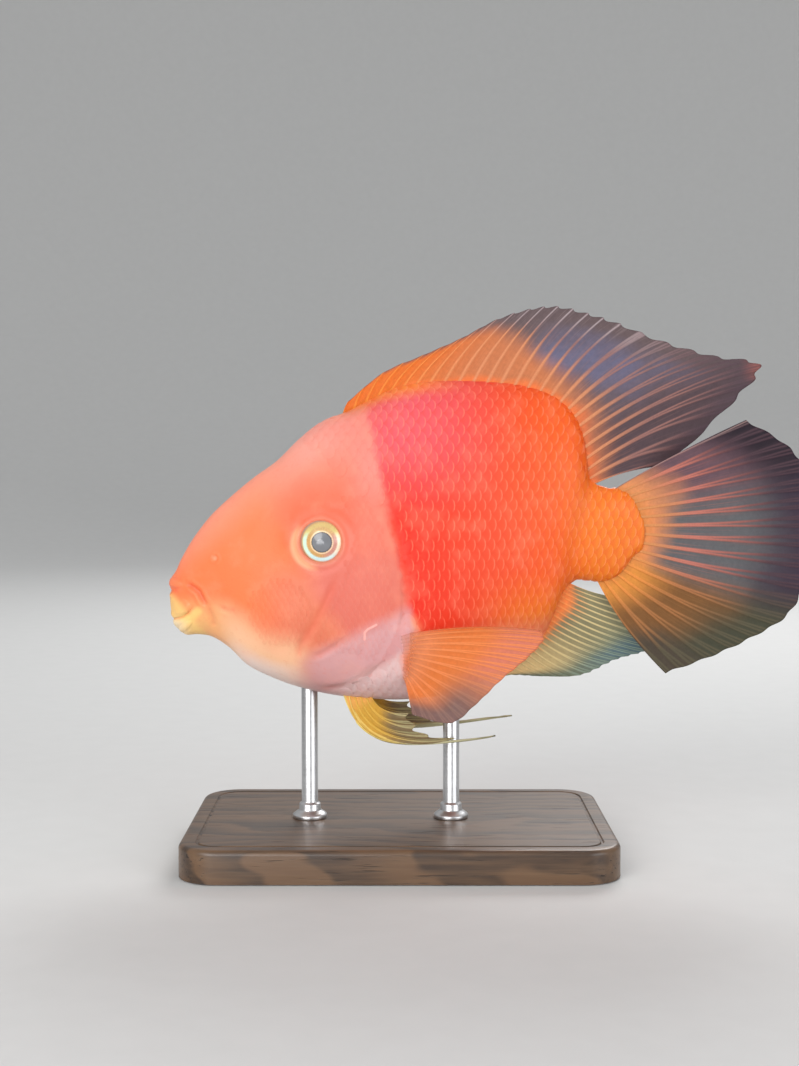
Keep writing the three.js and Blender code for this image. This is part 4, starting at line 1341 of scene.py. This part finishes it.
def pelvic_colours(finish, along, across):
    """Gold with a pale front edge, grey-brown folds and pale threads."""
    rise = finish.rise
    thread = finish.band(across, 0.15, 0.25, 0.02) * rise(along, 0.55, 0.75)
    membrane = finish.layers(
        (0.8, 0.38, 0.1),
        (rise(along, 0.0, 0.2), (0.56, 0.3, 0.04)),
        (rise(along, 0.38, 0.75), (0.2, 0.135, 0.065)),
        (rise(across, 0.12, 0.02), (0.74, 0.55, 0.16)),
        (thread, (0.46, 0.43, 0.25)),
    )
    ray = finish.layers(
        (0.8, 0.68, 0.25),
        (rise(across, 0.1, 0.3), (0.68, 0.42, 0.08)),
        (rise(along, 0.45, 0.9), (0.42, 0.38, 0.2)),
        (thread, (0.55, 0.52, 0.32)),
    )
    return membrane, ray, 0.98 - rise(along, 0.3, 1.0) * 0.12, 1.0


def pectoral_colours(finish, along, across):
    """Clear orange over the belly, with a brownish lower edge. The root and the upper edge melt
    into the flank."""
    rise = finish.rise
    low = rise(across, 0.42, 0.75) * rise(along, 0.4, 0.85)
    membrane = finish.layers(
        (0.8, 0.3, 0.15),
        (rise(along, 0.0, 0.4), (0.75, 0.2, 0.048)),
        (rise(along, 0.55, 0.85) * rise(across, 0.75, 0.4), (0.66, 0.2, 0.13)),
        (low, (0.17, 0.095, 0.085)),
    )
    ray = finish.layers(
        (0.77, 0.25, 0.095),
        (rise(along, 0.1, 0.7), (0.72, 0.215, 0.066)),
        (low, (0.24, 0.135, 0.11)),
    )
    seen = rise(along, 0.0, 0.2) * rise(across, -0.05, 0.1) * 0.7 + 0.3
    return membrane, ray, seen * (0.7 + low * 0.26), seen * 0.92


IRIS_CENTRE = 0.3  # the iris's middle lies this far behind the eyeball's


def eye_material():
    """The iris by its distance from the eye's axis: a near-black pupil painted grey in its middle as a
    reflection, cream ring, gold and rosy iris, and a bright outer ring that is mint in front, aqua
    below, cream behind and yellow on top."""
    finish = Finish("fish_eye")
    rise, band = finish.rise, finish.band
    right, up = finish.x - EYE["x"] - IRIS_CENTRE, finish.z - EYE["z"]
    reach = finish.distance(right, up)
    round_way = up.maths("ARCTAN2", right)
    fibre = finish.noise(3.0, 4.0, 0.6, place=finish.joined(round_way * 5, reach * 0.35))
    reach = reach + (fibre - 0.5) * 0.35
    level, ahead = up / IRIS_RADIUS, -right / IRIS_RADIUS
    iris = finish.layers(
        (0.55, 0.24, 0.18),
        (rise(ahead, -0.45, 0.25), (0.6, 0.33, 0.1)),
        (rise(level, 0.15, 0.6), (0.58, 0.36, 0.14)),
    )
    bright = finish.layers(
        (0.95, 0.8, 0.58),
        (rise(ahead, -0.3, 0.4), (0.66, 0.92, 0.72)),
        (rise(-level, 0.3, 0.85), (0.6, 0.85, 0.86)),
        (rise(level, 0.1, 0.6), (0.7, 0.58, 0.2)),
    )
    pupil = 1 - rise(reach, 2.6, 3.05)
    colour = finish.layers(
        finish.shade(iris, 0.6 + fibre * 0.85),
        (band(reach, 4.7, 5.85, 0.3) * (1 - rise(level, 0.45, 0.8) * 0.6), bright),
        (band(reach, 3.15, 3.55, 0.14) * (0.55 + rise(fibre, 0.3, 0.7) * 0.45), (0.86, 0.66, 0.42)),
        (1 - rise(reach, 3.0, 3.2), (0.045, 0.05, 0.055)),
        # Painted reflection: the pupil's middle is grey, over the near-black edge
        (pupil, (0.16, 0.165, 0.18)),
        (rise(reach, 5.9, 6.4), (0.4, 0.25, 0.18)),
    )
    return finish.close(
        Base_Color=colour, Roughness=0.3, Normal=finish.bump(fibre * (1 - pupil), 0.0003, 0.4),
        Coat_Weight=1.0, Coat_Roughness=0.03, Coat_IOR=1.45,
    )


def wood_material():
    finish = Finish("dark_wood")
    wave = finish.noise(26, 3, 0.55, (0.35, 1.0, 1.0))
    growth = (finish.y * 0.11 + wave * 7).maths("FRACT")
    ring = finish.rise(growth, 0.0, 0.75) * finish.rise(growth, 1.0, 0.86)
    pores = finish.rise(finish.noise(1000, 3, 0.6, (0.045, 1.0, 1.0)), 0.6, 0.68)
    fibre = finish.noise(420, 4, 0.6, (0.06, 1.0, 1.0))
    colour = finish.layers(
        (0.04, 0.021, 0.011),
        (ring, (0.115, 0.06, 0.028)),
        (finish.rise(fibre, 0.35, 0.75) * 0.55, (0.16, 0.088, 0.042)),
        (pores * 0.8, (0.018, 0.01, 0.006)),
    )
    return finish.close(
        Base_Color=colour, Roughness=0.36 + pores * 0.3 + fibre * 0.1,
        Normal=finish.bump(fibre * 0.6 - pores * 0.8, 0.0002, 0.5),
        Coat_Weight=0.25, Coat_Roughness=0.25,
    )


def steel_material():
    finish = Finish("brushed_steel")
    turned = finish.noise(1600, 3, 0.6, (0.08, 0.08, 1.0))
    return finish.close(
        Base_Color=finish.blend(turned, (0.5, 0.5, 0.51), (0.7, 0.7, 0.71)), Metallic=1.0,
        Roughness=0.24 + turned * 0.16, Normal=finish.bump(turned, 0.00006, 0.5),
    )


def paper_material():
    finish = Finish("pale_paper")
    grain = finish.noise(90, 3)
    colour = finish.blend(grain, (0.6, 0.6, 0.595), (0.63, 0.63, 0.625))
    return finish.close(Base_Color=colour, Roughness=0.85 - grain * 0.05)


# Stage, lights and camera, in metres

FLOOR = {"flat": 1.3, "bend": 1.1, "steps": 12, "under": -0.0003}
# Each light's place, the height over the base's middle that it aims at, and its size, power and
# colour
LIGHTS = {
    "key": ((-0.55, -0.95, 0.55), 0.1, 0.8, 6.9, (1.0, 0.985, 0.96)),
    "fill": ((0.95, -0.8, 0.3), 0.1, 0.9, 6.2, (0.96, 0.98, 1.0)),
    "low": ((-0.2, -0.6, 0.03), 0.08, 0.4, 2.0, (0.97, 0.98, 1.0)),
    "rim": ((0.3, 0.8, 0.75), 0.1, 0.6, 6.0, (1, 1, 1)),
}
WORLD_COLOUR, WORLD_STRENGTH = (0.93, 0.94, 0.95, 1), 0.6
PHOTO_HEIGHT = 1066  # pixels
PIXEL = 0.3155 * MM  # of the photograph, on the fish's middle plane
CAMERA_AIM = (0, 0, 100.6 * MM)
CAMERA_DISTANCE, CAMERA_ELEVATION = 0.5, math.radians(3)
SENSOR = 36


def make_stage(material):
    """A round pale floor that curves up into a wall all the way round."""
    flat, bend, steps = FLOOR["flat"], FLOOR["bend"], FLOOR["steps"]
    place = (0, 0, FLOOR["under"])
    bpy.ops.mesh.primitive_circle_add(vertices=96, radius=flat, fill_type="NGON", location=place)
    floor = bpy.context.object
    bpy.ops.object.transform_apply(location=True, rotation=True, scale=True)
    bpy.ops.object.mode_set(mode="EDIT")
    bpy.ops.mesh.select_mode(type="EDGE")
    bpy.ops.mesh.select_all(action="SELECT")
    bpy.ops.mesh.region_to_loop()
    radius, height = flat, 0
    for k in range(1, steps + 1):
        angle = math.pi / 2 * k / steps
        next_radius, next_height = flat + bend * math.sin(angle), bend * (1 - math.cos(angle))
        bpy.ops.mesh.extrude_edges_move(TRANSFORM_OT_translate={"value": (0, 0, next_height - height)})
        grow = next_radius / radius
        bpy.ops.transform.resize(value=(grow, grow, 1), center_override=(0, 0, 0))
        radius, height = next_radius, next_height
    leave_edit()
    smooth_faces(floor)
    floor.name = "studio_floor"
    floor.data.materials.append(material)


def look_from(thing, place, aim):
    """Puts a light or a camera at a place, turned to look at another."""
    seat = bpy.data.objects.new(thing.name, thing)
    bpy.context.scene.collection.objects.link(seat)
    seat.location = place
    seat.rotation_euler = (Vector(aim) - Vector(place)).to_track_quat("-Z", "Y").to_euler()
    return seat


def set_lights():
    for name, (place, aim_height, size, power, colour) in LIGHTS.items():
        lamp = bpy.data.lights.new(name, "AREA")
        lamp.shape = "DISK"
        lamp.size = size
        lamp.energy = power
        lamp.color = colour
        look_from(lamp, place, (0, 0, aim_height))
    world = bpy.data.worlds.new("studio")
    world.use_nodes = True
    world.node_tree.nodes["Background"].inputs["Color"].default_value = WORLD_COLOUR
    world.node_tree.nodes["Background"].inputs["Strength"].default_value = WORLD_STRENGTH
    bpy.context.scene.world = world
    bpy.context.scene.view_settings.view_transform = "Standard"


def set_camera():
    """Broadside and a little above level, framed as the photograph, with the model's middle line
    at the middle of the picture."""
    camera = bpy.data.cameras.new("camera")
    camera.sensor_width = SENSOR
    camera.lens = SENSOR * CAMERA_DISTANCE / (PHOTO_HEIGHT * PIXEL)
    way = Vector((0, -math.cos(CAMERA_ELEVATION), math.sin(CAMERA_ELEVATION)))
    place = Vector(CAMERA_AIM) + CAMERA_DISTANCE * way
    bpy.context.scene.camera = look_from(camera, place, CAMERA_AIM)


make_skin(skin_material())
scale_finish = scale_material()
scale_map = ScaleMap()
scale_groups = [(SCALE, body_scale_spots(scale_map)), (SMALL_SCALE, head_scale_spots(scale_map))]
for side_name, side in (("left", 1), ("right", -1)):
    lay_scales(
        f"scales_{side_name}", side, scale_map, scale_groups, scale_finish,
        "trunk", "tail_root", f"gill_cover_{side_name}", "head",
    )
eye_finish = eye_material()
paired_fins = [
    ("pectoral_fin", PECTORAL, pectoral_place, fin_material("pectoral_fin", pectoral_colours)),
    ("pelvic_fin", PELVIC, pelvic_place, fin_material("pelvic_fin", pelvic_colours)),
]
for side_name in SIDES:
    make_eye(side_name, eye_finish)
    for name, fin, place_on, finish in paired_fins:
        make_fin(f"{name}_{side_name}", place_on(side_name), finish, **fin["build"])
for name, fin, place, colours in (
    ("dorsal_fin", DORSAL, median_fin_place(DORSAL), dorsal_colours),
    ("anal_fin", ANAL, median_fin_place(ANAL), anal_colours),
    ("tail_fin", TAIL, tail_fin_place, tail_colours),
):
    make_fin(name, place, fin_material(name, colours), **fin["build"])
make_base(wood_material())
steel = steel_material()
for place in ("front", "rear"):
    make_rod(place, steel)
make_stage(paper_material())
set_lights()
set_camera()
